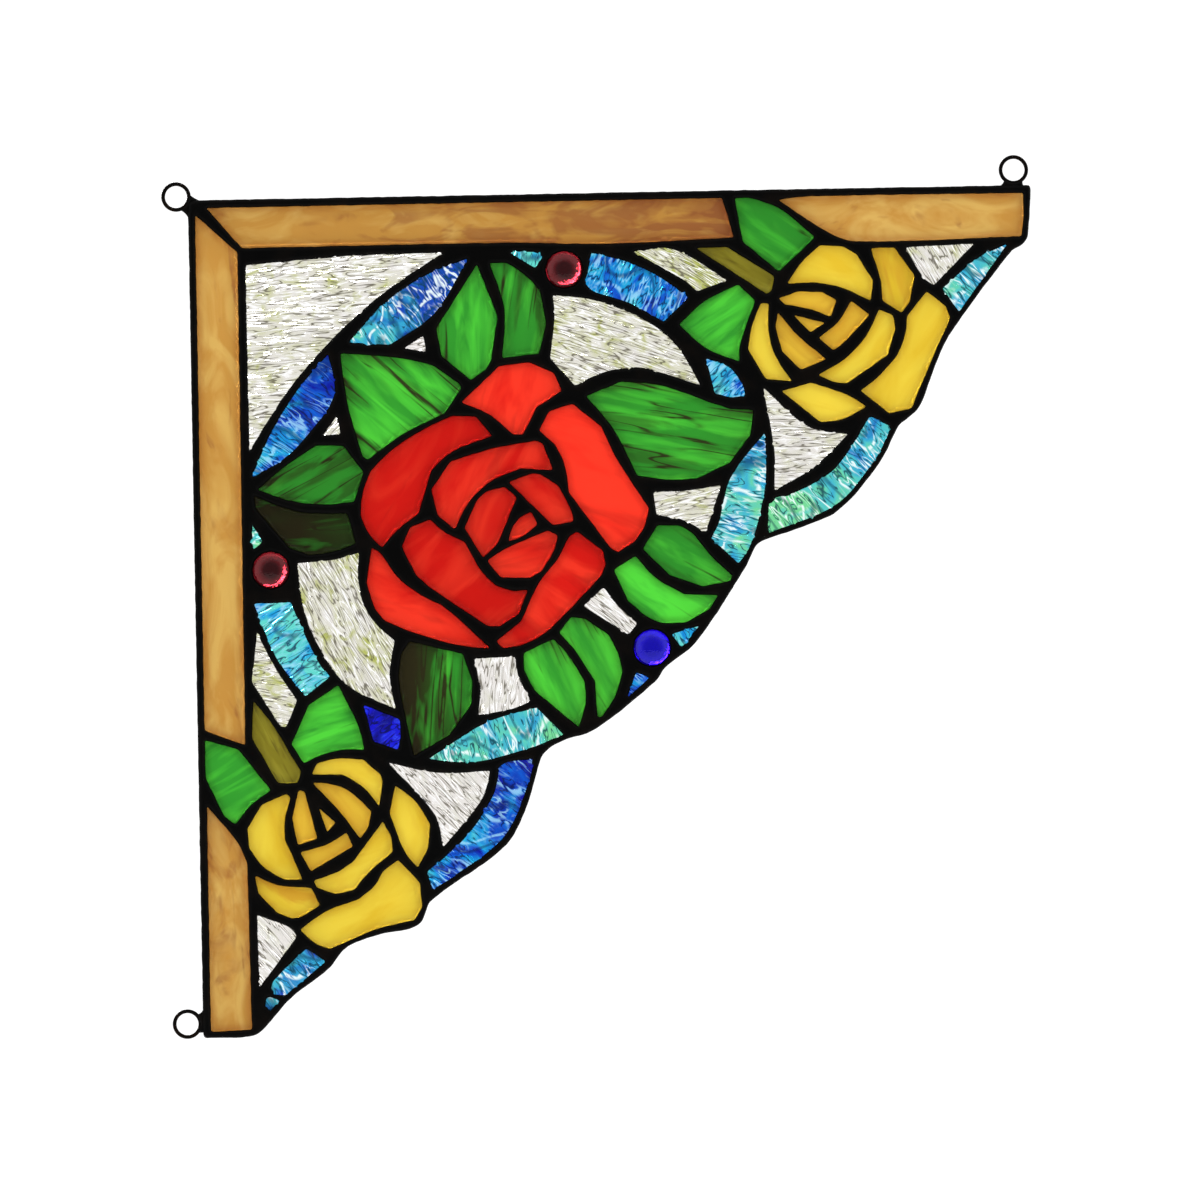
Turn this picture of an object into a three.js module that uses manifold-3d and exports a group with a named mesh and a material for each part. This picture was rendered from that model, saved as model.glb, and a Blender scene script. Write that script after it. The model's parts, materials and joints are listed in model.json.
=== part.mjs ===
import * as THREE from 'three';
import { mergeVertices } from 'three/addons/utils/BufferGeometryUtils.js';
import Module from 'manifold-3d';

const wasm = await Module();
wasm.setup();

// A corner panel of copper-foil stained glass: a right triangle with a scalloped long side, hung by three
// wire rings. Every outline is in millimetres from the panel's square corner, x to the right and z up as
// seen from the front, and runs clockwise. A third number bows the edge that follows it outward.
const GLASS_THICK = 3;
const SEAM_THICK = 5; // crest to crest of the solder on the two faces
const TUCK = 0.7; // how far the glass reaches under the edge of its seam
const FIT = 0.25; // play between the glass and the seam, all round
const WEB = 0.6; // solder that stands between two panes
const CHORD_ERROR = 0.7; // how far a facet may stray from a curved edge
const MITRE_LIMIT = 0.5; // a sharp corner grows by at most one over this

const RING_RADIUS = 5.15; // to the middle of the wire
const WIRE_RADIUS = 0.6;
const RING_SIDES = 16;
const WIRE_SIDES = 6;
const FOOT_THICK = 2.6; // the blob of solder that holds a ring to the rim

const GEM_RADIUS = 7.3; // the part that shows inside its seam
const GEM_GIRDLE = 2; // height of the round edge that the seam grips
const GEM_RISE = 2.1; // how far the dome stands out of the seam
const GEM_SIDES = 12;
const DOME_STEPS = 3;

// Colour, roughness and metalness of each material
const SOLDER = [0x101010, 0.45, 0.8];
const WIRE = [0x1c1815, 0.4, 0.8];
const AMBER = [0xc89b46, 0.25, 0];
const CLEAR = [0xdcdcd2, 0.1, 0];
const TURQUOISE = [0x6cc4dc, 0.1, 0];
const AZURE = [0x2f7fd8, 0.1, 0];
const COBALT = [0x1812c8, 0.1, 0];
const RED = [0xe63022, 0.2, 0];
const GREEN = [0x3fae35, 0.2, 0];
const OLIVE = [0x8c8428, 0.2, 0];
const LEMON = [0xe6cc38, 0.2, 0];
const HONEY = [0xe0a836, 0.2, 0];
const CRIMSON = [0x7a1a2c, 0.1, 0];

// The rim: straight along the top and the left, then up the scalloped long side from the foot
const RIM = [
  [0.1, -2.4], [1.4, -0.1], [14, 0], [316, 0], [336.4, -0.1], [337, -1.6], [335.4, -20.5], [333.4, -23.6],
  [328.8, -26.4], [304.2, -58.2], [299, -68], [292.6, -84.5, 0.8], [286.5, -92.2], [282.6, -95.3],
  [274.2, -110.5, 0.5], [257.8, -128.6, 0.8], [228.5, -139.8], [224.6, -142.2], [220.6, -150.2],
  [199.5, -180.7], [187.8, -189.8], [183.2, -195.8], [158.5, -214.6], [145.5, -218.9], [138, -224],
  [135.4, -231, 1.8], [121.8, -260.7], [92.1, -281.8], [88, -290.2], [83, -292.8], [71, -294.9],
  [57.6, -300], [50.7, -308.1], [35, -319.9], [24, -332], [19.5, -334.6], [0.8, -334.9], [0.1, -333.9],
  [0, -322], [0, -16],
];

// Panes with a window of their own
const PANES = [
  ['amber_top', AMBER, [[7.3, -3.2], [213.5, -3], [218, -18.8], [168, -20.3], [125, -19.2], [21.2, -19.4]]],
  ['amber_top_right', AMBER, [
    [236, -4.1], [247.8, -3], [333.9, -3.2], [333.9, -12], [332.9, -20.4], [266.9, -21.2], [255.6, -17.3],
  ]],
  ['amber_left', AMBER, [[2.8, -6], [19.4, -21.2], [18.9, -218.2], [2.8, -212]]],
  ['amber_foot', AMBER, [[3.2, -242.4], [14.8, -256.6], [18.8, -265.3], [19.5, -331.9], [3.1, -332.4]]],

  ['clear_corner', CLEAR, [[22.6, -26.3], [68, -23.2], [101.4, -22.8, -7.5], [22.8, -100.3]]],
  ['clear_sliver_top', CLEAR, [[85.3, -60.7], [93.1, -55.7], [94, -62.2]]],
  ['clear_sliver_left', CLEAR, [[57.8, -87.4], [59.3, -94.6], [52.2, -94.9]]],
  ['clear_above_leaf', CLEAR, [
    [145.2, -40.6, 3.5], [188, -55.5], [196.3, -64.5], [203.6, -77.8], [184.5, -71.1], [177.5, -70, -1.7],
    [153.4, -76.8], [143.7, -65.8], [145.8, -48],
  ]],
  ['clear_right_stem', CLEAR, [
    [177.5, -23.7], [193.9, -23.2], [214.7, -35.8], [202.9, -40.1], [198.1, -35.7],
  ]],
  ['clear_right_end', CLEAR, [[286.4, -24], [313.9, -23.1], [297.5, -39.3], [293.7, -36.4]]],
  ['clear_right_middle', CLEAR, [
    [184, -120], [198, -119.6], [211, -117.7], [204.6, -136.3, -1.6], [185, -129.2],
  ]],
  ['clear_right_low', CLEAR, [
    [228.7, -79.2, -0.5], [246.5, -95.1], [262.3, -98.3, 2], [232.4, -120.3], [232.6, -104, -0.4],
  ]],
  ['clear_left_big', CLEAR, [
    [41, -145.8], [56.5, -144.6], [65.8, -142], [65.2, -152, -3.7], [79.4, -177.4, -2.2], [79.3, -204.8],
    [60, -194.8, 5],
  ]],
  ['clear_left_stem', CLEAR, [
    [24.5, -173.6, -0.8], [39.9, -200.8], [35.4, -211.2], [33.3, -211], [22, -193],
  ]],
  ['clear_bottom_middle', CLEAR, [
    [111.1, -185.3], [127.4, -184.8], [128.8, -193], [133.3, -202.5], [126.5, -205.4],
    [112.3, -207.9], [113.3, -197],
  ]],
  ['clear_bottom_low', CLEAR, [
    [75.8, -226.2, -2.5], [116.7, -230.2], [113, -241.5], [97.3, -260.4], [94, -247, -0.6],
  ]],
  ['clear_between_leaves', CLEAR, [
    [155.2, -165], [163.3, -157.9, -0.8], [176.5, -172.4], [172.9, -176.8],
  ]],
  ['clear_foot', CLEAR, [[22.4, -286.2], [36, -291.8], [38, -295.2], [22.8, -315.2]]],

  ['turquoise_upper_left', TURQUOISE, [[63.4, -57.9, 5], [111.5, -25.2], [97.7, -46.9], [79.6, -59.2]]],
  ['azure_left_upper', AZURE, [[23.6, -111, 3.1], [54.9, -62.4, 1], [56.6, -80.2, 1.2], [36.8, -103.7]]],
  ['azure_top_sliver', AZURE, [[128.4, -23.2], [137.5, -23.1], [141.4, -25], [138.5, -29.6]]],
  ['azure_top_right', AZURE, [
    [161, -23.9, 2.9], [199.3, -42.4], [189.3, -52, -1.4], [161, -39], [158.4, -36.2],
  ]],
  ['turquoise_right_end', TURQUOISE, [
    [327, -23.6], [307.5, -50.2], [301, -40.7], [316.1, -28.4],
  ]],
  ['azure_rose_gap', AZURE, [
    [206, -67], [215.5, -71, 0.4], [220.4, -78], [221.4, -82], [216, -82.6], [209.3, -80.9],
  ]],
  ['turquoise_right_strip', TURQUOISE, [
    [228.9, -97], [229, -115], [226.5, -128.5], [222.5, -141.5], [217.5, -149.1],
    [206.8, -138.9], [209.8, -133], [214.9, -115],
  ]],
  ['turquoise_right_edge', TURQUOISE, [
    [271, -91.3], [278.9, -95.2], [278.4, -98], [272.2, -109.3], [257, -126.2], [229.7, -137.2],
    [229.9, -126.4], [233.6, -122.9], [237.8, -122.4], [255, -113.4, -0.6], [265.5, -100.4],
  ]],
  ['turquoise_left_sliver', TURQUOISE, [[23.3, -130.1], [27.4, -136.9], [23.5, -140.2]]],
  ['azure_left_strip', AZURE, [
    [23.4, -161.7], [38, -161.4], [48.3, -184.8], [53.3, -191.4], [43.3, -199.2], [31.7, -182.8],
  ]],
  ['cobalt_left_rose', COBALT, [[66.5, -203.1], [80.8, -208.9], [81, -216], [79.8, -221], [70.3, -217.6]]],
  ['turquoise_bottom', TURQUOISE, [
    [92.3, -224.9], [115.5, -211], [135.6, -205.3], [146.3, -216.3], [132.5, -221.4], [113, -226.2],
    [102, -226.3],
  ]],
  ['azure_bottom_edge', AZURE, [
    [120.4, -228.7], [124, -226.7], [133.3, -226.2], [133.1, -231.5, 0.7], [122.1, -256, 0.7],
    [101.5, -272], [92.8, -277.2], [90.8, -270.2], [103.5, -259.4, -1.3], [118.3, -238.5],
  ]],
  ['azure_above_gem', AZURE, [[190.2, -177], [201.3, -173.8], [194.1, -182.2]]],
  ['azure_below_gem', AZURE, [[175.7, -192], [181, -194.2], [172.2, -201.7]]],

  ['green_leaf_upper_left', GREEN, [
    [59.8, -62.2], [84, -64.7, 2.5], [107.2, -75.3], [107.8, -77.3], [101, -86.9, -1.4], [69.9, -104.9],
    [68, -103.6, 1.4],
  ]],
  ['green_leaf_right', GREEN, [
    [157.8, -81.2], [172, -75.7, 0.5], [187, -77.3], [214.5, -87.1], [224.5, -88], [223, -98],
    [214.5, -108.8, 0.6], [201.5, -114.8], [190, -115.1], [177.6, -113.2], [168.5, -94.5],
  ]],
  ['green_leaf_lower_left', GREEN, [
    [85.3, -178], [106.3, -183.2, 0.6], [110.1, -194], [109.6, -203.3], [100.5, -215.6], [86.3, -223.6],
    [80.9, -193.5], [82, -183],
  ]],
  ['green_right_border_leaf', GREEN, [
    [218.6, -3.2], [224, -3], [236, -7.4], [250.3, -19.3, 0.7], [235.7, -32.7], [221.6, -20.6],
  ]],
  ['green_right_inner_leaf', GREEN, [
    [195.4, -53.2, 1.9], [219.3, -37.7], [226, -44.3, -0.6], [219.5, -62], [219.3, -68.5, 2.3],
  ]],
  ['green_left_border_leaf', GREEN, [
    [2.9, -216], [16, -219.8], [28.8, -236.4], [20.5, -242.4], [14.4, -249.8], [10, -246.3], [2.9, -231],
  ]],
  ['green_left_inner_leaf', GREEN, [
    [44.5, -202.8], [56.5, -194.9], [64.5, -212], [66.4, -221], [59, -220.6, -0.9],
    [42.2, -225.7], [37.4, -218.2],
  ]],
  ['olive_right_stem', OLIVE, [[203, -22.9], [214.8, -22.5], [233.7, -34.6], [232.8, -40.3], [230.9, -41.7]]],
  ['olive_left_stem', OLIVE, [
    [22.5, -200.6], [30, -210.3], [41, -229.1], [39.6, -233.7], [31.8, -233.6], [21.7, -215.3],
  ]],
];

// Neighbours of one glass that make one solid: its outline as a whole, then the window of each piece
const GROUPS = [
  ['turquoise_foot', TURQUOISE, [
    [41.8, -299.9], [49.5, -305.2], [33, -318.5], [26.8, -324.5], [25.3, -322], [25.5, -319.2],
    [28.7, -312.4],
  ], [
    [[41.8, -299.9], [49.5, -305.2], [33, -318.5], [29.5, -318.1], [27.3, -315.6], [28.7, -312.4]],
    [[25.5, -319.4], [27, -318.9], [30.9, -320.6], [26.8, -324.5], [25.3, -322]],
  ]],
  ['green_leaf_top', GREEN, [
    [115, -27.8], [126.7, -27.2, 1], [140, -38.6], [142.2, -52], [139.2, -63.8], [119.9, -66.2],
    [117.8, -69.7], [111.8, -73.8], [100.3, -64], [98.4, -53, 0.5],
  ], [
    [[115, -27.8, 0.6], [122.9, -48.5, 0.4], [119.9, -66.2], [117.8, -69.7], [111.8, -73.8], [100.3, -64],
      [98.4, -53, 0.5]],
    [[120.2, -27.3], [126.7, -27.2, 1], [140, -38.6], [142.2, -52], [139.2, -63.8], [124.6, -65.2],
      [125.7, -45.5, -0.7]],
  ]],
  ['green_leaf_left', GREEN, [
    [25.8, -116.2, 0.8], [49.5, -98.9, 0.5], [60.3, -99.3], [68.2, -110], [64.1, -121.7], [64.6, -138.2],
    [56, -141.3], [46, -142.6], [38, -139.5, 0.6], [25, -123.8], [24.3, -118.6],
  ], [
    [[25.8, -116.2, 0.8], [49.5, -98.9, 0.5], [60.3, -99.3], [68.2, -110], [64.1, -121.7, 2.9]],
    [[24.3, -118.6], [34, -122.9], [44.5, -125.7], [61.3, -126.4], [64.6, -138.2], [56, -141.3],
      [46, -142.6], [38, -139.5, 0.6], [25, -123.8]],
  ]],
  ['green_leaf_lower_right', GREEN, [
    [179.3, -142.7], [185.3, -133.4], [194, -133.6], [199, -136.6], [206.5, -146], [214.8, -154],
    [205.5, -167], [196, -172.3], [187, -172.3], [181, -170], [173, -163.1], [167.6, -150.8],
  ], [
    [[179.3, -142.7], [185.3, -133.4], [194, -133.6], [199, -136.6], [206.5, -146], [214.8, -154],
      [213.6, -156.2], [203, -158, 0.6], [190, -153.3]],
    [[167.6, -150.8], [176.2, -145.4], [184, -154.2, -0.5], [195.5, -161.1], [209, -161.7], [205.5, -167],
      [196, -172.3], [187, -172.3], [181, -170], [173, -163.1]],
  ]],
  ['green_leaf_bottom', GREEN, [
    [130.9, -183.4], [142.9, -178], [150.2, -169.4], [155.5, -170.1], [165, -176.8], [168.6, -184.5],
    [170.2, -191.5], [167.3, -200.8, 0.4], [161.8, -209.3], [152.3, -213.3], [135, -198.4], [131, -190],
  ], [
    [[145.2, -175.5], [150.2, -169.4], [155.5, -170.1], [165, -176.8], [168.6, -184.5], [170.2, -191.5],
      [167.3, -200.8, 0.4], [161.8, -209.3], [160, -209.6], [159.2, -195], [151.2, -182.3]],
    [[130.9, -183.4], [142.9, -178], [148.5, -184.5], [154.9, -195], [155.3, -203.5], [152.3, -213.3],
      [135, -198.4], [131, -190]],
  ]],
  ['red_heart', RED, [
    [103.2, -106.2, 1], [137.3, -98.7], [139.9, -99.8], [151.4, -128], [151.7, -131.2], [145.3, -136.7],
    [143.5, -143], [138.3, -151], [134, -153.2], [122.3, -153], [115.4, -145], [108.2, -133],
    [104.2, -133.3], [97.7, -127.8], [95.2, -117.3],
  ], [
    [[137.3, -98.7], [139.9, -99.8], [143.9, -110.4], [131, -109.5, -4.7], [104.2, -133.3], [97.7, -127.8],
      [95.2, -117.3], [103.2, -106.2, 1]],
    [[126.3, -115, 0.6], [135.5, -111.7], [139, -112.2], [146, -116.8], [151.4, -128], [151.7, -131.2],
      [143.4, -132.4]],
    [[124.6, -116.8], [129.2, -121.2], [121.3, -139.3], [115.4, -145], [108.2, -133, 0.6],
      [113.4, -122], [117.2, -118.5]],
    [[130, -129.5], [134.9, -126.9], [137.4, -132], [131.5, -136.5], [125.6, -138.7], [127.3, -133.4]],
    [[117.1, -146.2], [124.3, -141.6], [141.5, -134.6], [145.3, -136.7], [143.5, -143], [138.3, -151],
      [134, -153.2], [122.3, -153]],
  ]],
  ['red_outer_petals', RED, [
    [107.8, -82.7], [123.2, -68.6], [135.2, -67.3], [145, -71.7], [148, -78.8], [152.3, -84.2],
    [163.6, -93.5], [169.6, -106.6], [182, -126.4, 3.2], [169.3, -143.7], [164.3, -146.5], [162.5, -153],
    [141.5, -173.8], [132, -179.5], [122.6, -181.3], [104.5, -179.6], [87, -174.3],
    [75.5, -169.3], [71.8, -164.6], [68.6, -154], [70.9, -140.2], [70.2, -135], [66.7, -127.2, 1.1],
    [71.2, -109.3, 0.6], [80.5, -100.7, 0.8], [104, -88.1],
  ], [
    [[107.8, -82.7], [123.2, -68.6], [135.2, -67.3], [145, -71.7], [148, -78.8], [137.8, -85.2],
      [132.3, -96], [128.4, -96, -1.8]],
    [[138.7, -94.5], [143, -86.8], [152.3, -84.2], [163.6, -93.5], [169.6, -106.6], [182, -126.4, 3.2],
      [169.3, -143.7], [166.5, -142], [150.3, -119.7], [148.6, -108], [145, -100.3]],
    [[104, -88.1], [113.6, -88.6], [119.9, -96.4], [107, -100.7, -0.9], [95.3, -109.7, -0.5],
      [89.8, -126.7], [80.2, -134.3], [75, -140], [70.2, -135], [66.7, -127.2, 1.1], [71.2, -109.3, 0.6],
      [80.5, -100.7, 0.8]],
    [[94.5, -129.3], [99.5, -134], [108.3, -138.8], [114.5, -150.3], [120.3, -156.3], [127.5, -158.7],
      [133, -158.2], [129.2, -167.6], [121.5, -172.5], [117, -172.4], [94, -156.4],
      [88.5, -151.5, 0.6], [83, -140], [86.5, -132.3]],
    [[70.9, -140.2], [74.5, -142.8, -1.6], [90, -159.4], [100, -164.9], [117.4, -181.2], [104.5, -179.6],
      [87, -174.3], [75.5, -169.3], [71.8, -164.6], [68.6, -154]],
    [[153.2, -135.3], [163.4, -143.2], [164.2, -148.5], [162.5, -153], [141.5, -173.8], [132, -179.5],
      [122.6, -181.3], [120.1, -178.5], [129.9, -171], [138, -154.8], [145, -146.3], [150, -136.9]],
  ], 'red_heart'],
  ['honey_right_heart', HONEY, [
    [235.5, -43.5], [243.4, -40.9], [253, -41.4], [258.5, -44.6], [264.4, -45.1], [271.7, -50.7],
    [254.1, -68.2], [243.8, -72.1, 2.7], [234, -54.8],
  ], [
    [[235.5, -43.5], [243.4, -40.9], [253, -41.4], [258.5, -44.6], [256.1, -51.2, -0.8], [238, -46]],
    [[241.4, -50.4], [253.7, -53.6], [247.9, -57.3]],
    [[264.4, -45.1], [271.7, -50.7], [261, -61.6], [257, -64.7], [251.2, -59.6, -1.6]],
    [[235, -49.2, -1.1], [254.1, -68.2], [243.8, -72.1, 2.7], [234, -54.8]],
  ]],
  ['lemon_right_outer_petals', LEMON, [
    [239.1, -37.6, 1.2], [252.4, -22.6], [261.7, -23.2], [266.8, -26.5], [272.6, -24.1], [282, -24],
    [294.7, -41.8], [302.2, -47.9], [303.9, -52.6], [296.6, -68], [287.7, -88.3], [278.8, -90.2],
    [269.6, -87.4], [260, -92.2], [251.2, -93.2], [229.8, -75.6], [222.8, -63.6, 0.9],
    [228.3, -45.4], [231.5, -45.4], [235.5, -43.5],
  ], [
    [[239.1, -37.6, 1.2], [252.4, -22.6], [261.7, -23.2], [266.8, -26.5], [273.3, -37], [272.2, -45.1, -3]],
    [[228.3, -45.4], [231.5, -45.4, -3.8], [240.1, -76.7], [229.8, -75.6], [222.8, -63.6, 0.9]],
    [[272.6, -24.1], [282, -24], [289.8, -35.3], [287.8, -45.7], [284.5, -50.1], [276.9, -45.2],
      [276.3, -36.5]],
    [[275.6, -48.6], [280.9, -51.1], [281.9, -56.3], [278.6, -66.8], [262, -78], [257, -77.3],
      [250.7, -74.4, -3.9]],
    [[236, -80.6], [247.8, -77.4], [263, -83.1], [269.6, -87.4], [260, -92.2],
      [251.2, -93.2]],
    [[294.7, -41.8], [302.2, -47.9], [303.9, -52.6], [296.6, -68], [287.7, -88.3], [278.8, -90.2],
      [267.5, -81], [274, -76.3], [282.8, -66.3], [286, -58], [286.7, -51.5]],
  ], 'honey_right_heart'],
  ['honey_left_heart', HONEY, [
    [39.9, -236.5], [42.3, -237.2], [45.6, -233.7], [53, -234.4], [60, -237.3], [68.8, -245.5],
    [67.5, -251.3], [61.2, -259.4], [44.3, -269], [39.2, -258.5], [37.2, -248],
  ], [
    [[45.6, -233.7], [53, -234.4], [60, -237.3], [68.8, -245.5], [67.5, -251.3], [64.2, -256.4],
      [57, -246.4]],
    [[39.9, -236.5], [42.3, -237.2], [47, -256], [39.2, -258.5], [37.2, -248]],
    [[48, -243.9], [54.4, -249.8], [51, -253.6]],
    [[58.7, -253.9], [61.2, -259.4], [44.3, -269], [40.2, -261.4], [50.5, -258.6]],
  ]],
  ['lemon_left_outer_petals', LEMON, [
    [47.5, -225.8], [56, -224.2], [66, -224.8], [72.8, -231], [73.6, -234], [78.6, -235.3],
    [86.6, -242], [92.2, -251], [91.1, -260.7], [87, -268.4], [88.4, -277.5], [88.4, -284],
    [85.4, -289.2], [70, -292.6], [51.3, -300.2],
    [45.5, -297.8], [39.5, -292.4], [36.3, -287.8], [30.5, -285.3], [23, -277.4], [21.9, -270.5],
    [23, -265], [19.8, -259.5], [19.2, -251.8], [25, -242.1], [35.3, -238], [36.6, -239.6],
    [39.9, -236.5], [42.3, -237.2],
  ], [
    [[47.5, -225.8], [56, -224.2], [66, -224.8], [72.8, -231], [73.6, -234], [72, -243.5, -1.6],
      [57.5, -230.5], [45.2, -230.4]],
    [[78.6, -235.3], [86.6, -242], [92.2, -251], [91.1, -260.7], [87, -268.4], [81.8, -261.8],
      [76.2, -246.2]],
    [[45.3, -272.9], [54, -269.9], [61, -265.9], [73.4, -249.6], [76.6, -256], [77.1, -261.8],
      [68, -269.3], [61, -277], [54, -278.2], [46.4, -275.6]],
    [[79.2, -265.2], [87.8, -274.6], [88.4, -284], [85.4, -289.2], [70, -292.6], [51.3, -300.2],
      [45.5, -297.8], [39.5, -292.4], [50.5, -285], [62.5, -280.9], [69.5, -275.5], [73.3, -269.6]],
    [[21.9, -270.5], [31, -274.4], [44.3, -275.7], [47.5, -282.6], [40.5, -286.9],
      [36.3, -287.8], [30.5, -285.3], [23, -277.4]],
    [[25, -242.1], [35.3, -238], [36.6, -239.6], [34.2, -248], [34, -256], [40.8, -272.2],
      [33.5, -272.2], [25.5, -267, 0.5], [19.8, -259.5], [19.2, -251.8]],
  ], 'honey_left_heart'],
];

const GEMS = [
  ['gem_red_top', CRIMSON, 149.9, -30.4],
  ['gem_red_left', CRIMSON, 30.5, -148.4],
  ['gem_blue', COBALT, 182.3, -182.2],
];

// Each ring's centre and the outline of the solder that joins it to the rim
const RINGS = [
  ['ring_corner', -4.8, 1.55, [
    [3, 0.3], [0.2, 3], [-0.3, -0.1], [-3.1, -2.9], [-3, -4.1], [-0.3, -6], [-0.3, -2.4], [1.2, 0.3],
  ]],
  ['ring_right', 330.3, 6.2, [[325.4, 0.3], [328.3, 1.8], [332.7, 1.8], [334.2, 2.6], [336.2, 0.3]]],
  ['ring_foot', -6.3, -329.3, [
    [-0.3, -324.8], [-0.3, -333.9], [-2.6, -334.2], [-1.7, -329.3], [-2.7, -324.6], [-1.2, -326],
  ]],
];

// The part's origin is the centre of the ring at the square corner.
const [, ORIGIN_X, ORIGIN_Z] = RINGS[0];

// The points of an outline, with each bowed edge as a curve
function outlinePoints(corners) {
  return corners.flatMap(([x, z, bow = 0], i) => {
    const [nextX, nextZ] = corners[(i + 1) % corners.length];
    const start = new THREE.Vector2(x, z);
    const end = new THREE.Vector2(nextX, nextZ);
    const outward = outwardNormal(start, end);
    const middle = start.clone().lerp(end, 0.5).addScaledVector(outward, 2 * bow);
    const steps = Math.max(1, Math.ceil(Math.sqrt(Math.abs(bow) / CHORD_ERROR)));
    return new THREE.QuadraticBezierCurve(start, middle, end).getPoints(steps).slice(0, -1);
  });
}

// The direction out of a clockwise outline, square to one of its edges
function outwardNormal(start, end) {
  return new THREE.Vector2(start.y - end.y, end.x - start.x).normalize();
}

// The same outline grown by a distance all round
function grow(points, distance) {
  return points.map((point, i) => {
    const before = outwardNormal(points.at(i - 1), point);
    const after = outwardNormal(point, points[(i + 1) % points.length]);
    const bisector = before.add(after).normalize();
    const reach = distance / Math.max(bisector.dot(after), MITRE_LIMIT);
    return point.clone().addScaledVector(bisector, reach);
  });
}

// A closed geometry as a solid in the part's own frame
function solid(geometry) {
  const bare = geometry.translate(-ORIGIN_X, 0, -ORIGIN_Z);
  bare.deleteAttribute('normal');
  bare.deleteAttribute('uv');
  const merged = mergeVertices(bare);
  return new wasm.Manifold(new wasm.Mesh({
    numProp: 3,
    vertProperties: merged.attributes.position.array,
    triVerts: Uint32Array.from(merged.index.array),
  }));
}

// A plate of an outline, centred on the middle of the panel
function plate(points, thickness) {
  const shape = new THREE.Shape(points);
  const geometry = new THREE.ExtrudeGeometry(shape, { depth: thickness, bevelEnabled: false });
  return solid(geometry.rotateX(Math.PI / 2).translate(0, thickness / 2, 0));
}

function circlePoints(x, z, radius) {
  return new THREE.EllipseCurve(x, z, radius, radius, 0, 2 * Math.PI, true).getPoints(GEM_SIDES).slice(0, -1);
}

// A gem: a flat back, a girdle that sits in the seam, and a dome that stands out in front of it
function gem(x, z) {
  const girdle = GEM_RADIUS + TUCK;
  const neck = GEM_RADIUS - FIT;
  const back = -GLASS_THICK / 2;
  const foot = [[0, back], [girdle, back], [girdle, back + GEM_GIRDLE], [neck, -back]];
  const dome = new THREE.EllipseCurve(0, SEAM_THICK / 2, neck, GEM_RISE, 0, Math.PI / 2);
  const profile = foot.map(([radius, height]) => new THREE.Vector2(radius, height));
  profile.push(...dome.getPoints(DOME_STEPS));
  return solid(new THREE.LatheGeometry(profile, GEM_SIDES).rotateX(Math.PI).translate(x, 0, z));
}

// A ring of wire, square to the panel's thickness, with the solder that holds it
function ring(x, z, foot) {
  const wire = new THREE.TorusGeometry(RING_RADIUS, WIRE_RADIUS, WIRE_SIDES, RING_SIDES);
  return solid(wire.rotateX(Math.PI / 2).translate(x, 0, z)).add(plate(outlinePoints(foot), FOOT_THICK));
}

const panel = new THREE.Group();

function addMesh(name, [color, roughness, metalness], body) {
  const { vertProperties, triVerts } = body.getMesh();
  const geometry = new THREE.BufferGeometry();
  geometry.setAttribute('position', new THREE.BufferAttribute(vertProperties, 3));
  geometry.setIndex(new THREE.BufferAttribute(triVerts, 1));
  geometry.computeVertexNormals();
  const mesh = new THREE.Mesh(geometry, new THREE.MeshStandardMaterial({ color, roughness, metalness }));
  mesh.name = name;
  panel.add(mesh);
}

// The glass, with the pocket that each pane leaves in the solder and the windows it shows through
const pocketThick = GLASS_THICK + 2 * FIT;
const cuts = [];
const glazing = [...PANES.map(([name, glass, edge]) => [name, glass, edge, [edge]]), ...GROUPS];
const hearts = new Map(GROUPS.map(([name, , edge]) => [name, outlinePoints(edge)]));

for (const [name, glass, edge, windows, heartName] of glazing) {
  const points = outlinePoints(edge);
  let pane = plate(grow(points, TUCK), GLASS_THICK);
  let pocket = plate(grow(points, TUCK + FIT), pocketThick);
  if (heartName) {
    const heart = hearts.get(heartName);
    pane = pane.subtract(plate(grow(heart, TUCK + FIT + WEB + FIT), SEAM_THICK));
    pocket = pocket.subtract(plate(grow(heart, TUCK + FIT + WEB), SEAM_THICK));
  }
  addMesh(name, glass, pane);
  cuts.push(pocket, ...windows.map((corners) => plate(outlinePoints(corners), 2 * SEAM_THICK)));
}

for (const [name, glass, x, z] of GEMS) {
  addMesh(name, glass, gem(x, z));
  cuts.push(plate(circlePoints(x, z, GEM_RADIUS + TUCK + FIT), pocketThick));
  cuts.push(plate(circlePoints(x, z, GEM_RADIUS), 2 * SEAM_THICK));
}

// The solder: one plate of the panel's outline, cut by every pocket and window
const blank = plate(outlinePoints(RIM), SEAM_THICK);
addMesh('solder_lattice', SOLDER, cuts.reduce((body, cut) => body.subtract(cut), blank));

for (const [name, x, z, foot] of RINGS) {
  addMesh(name, WIRE, ring(x, z, foot));
}

export default panel;
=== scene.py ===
import json
import math

import bmesh
import bpy
import numpy as np
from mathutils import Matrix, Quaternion, Vector, geometry, kdtree, noise


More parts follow.
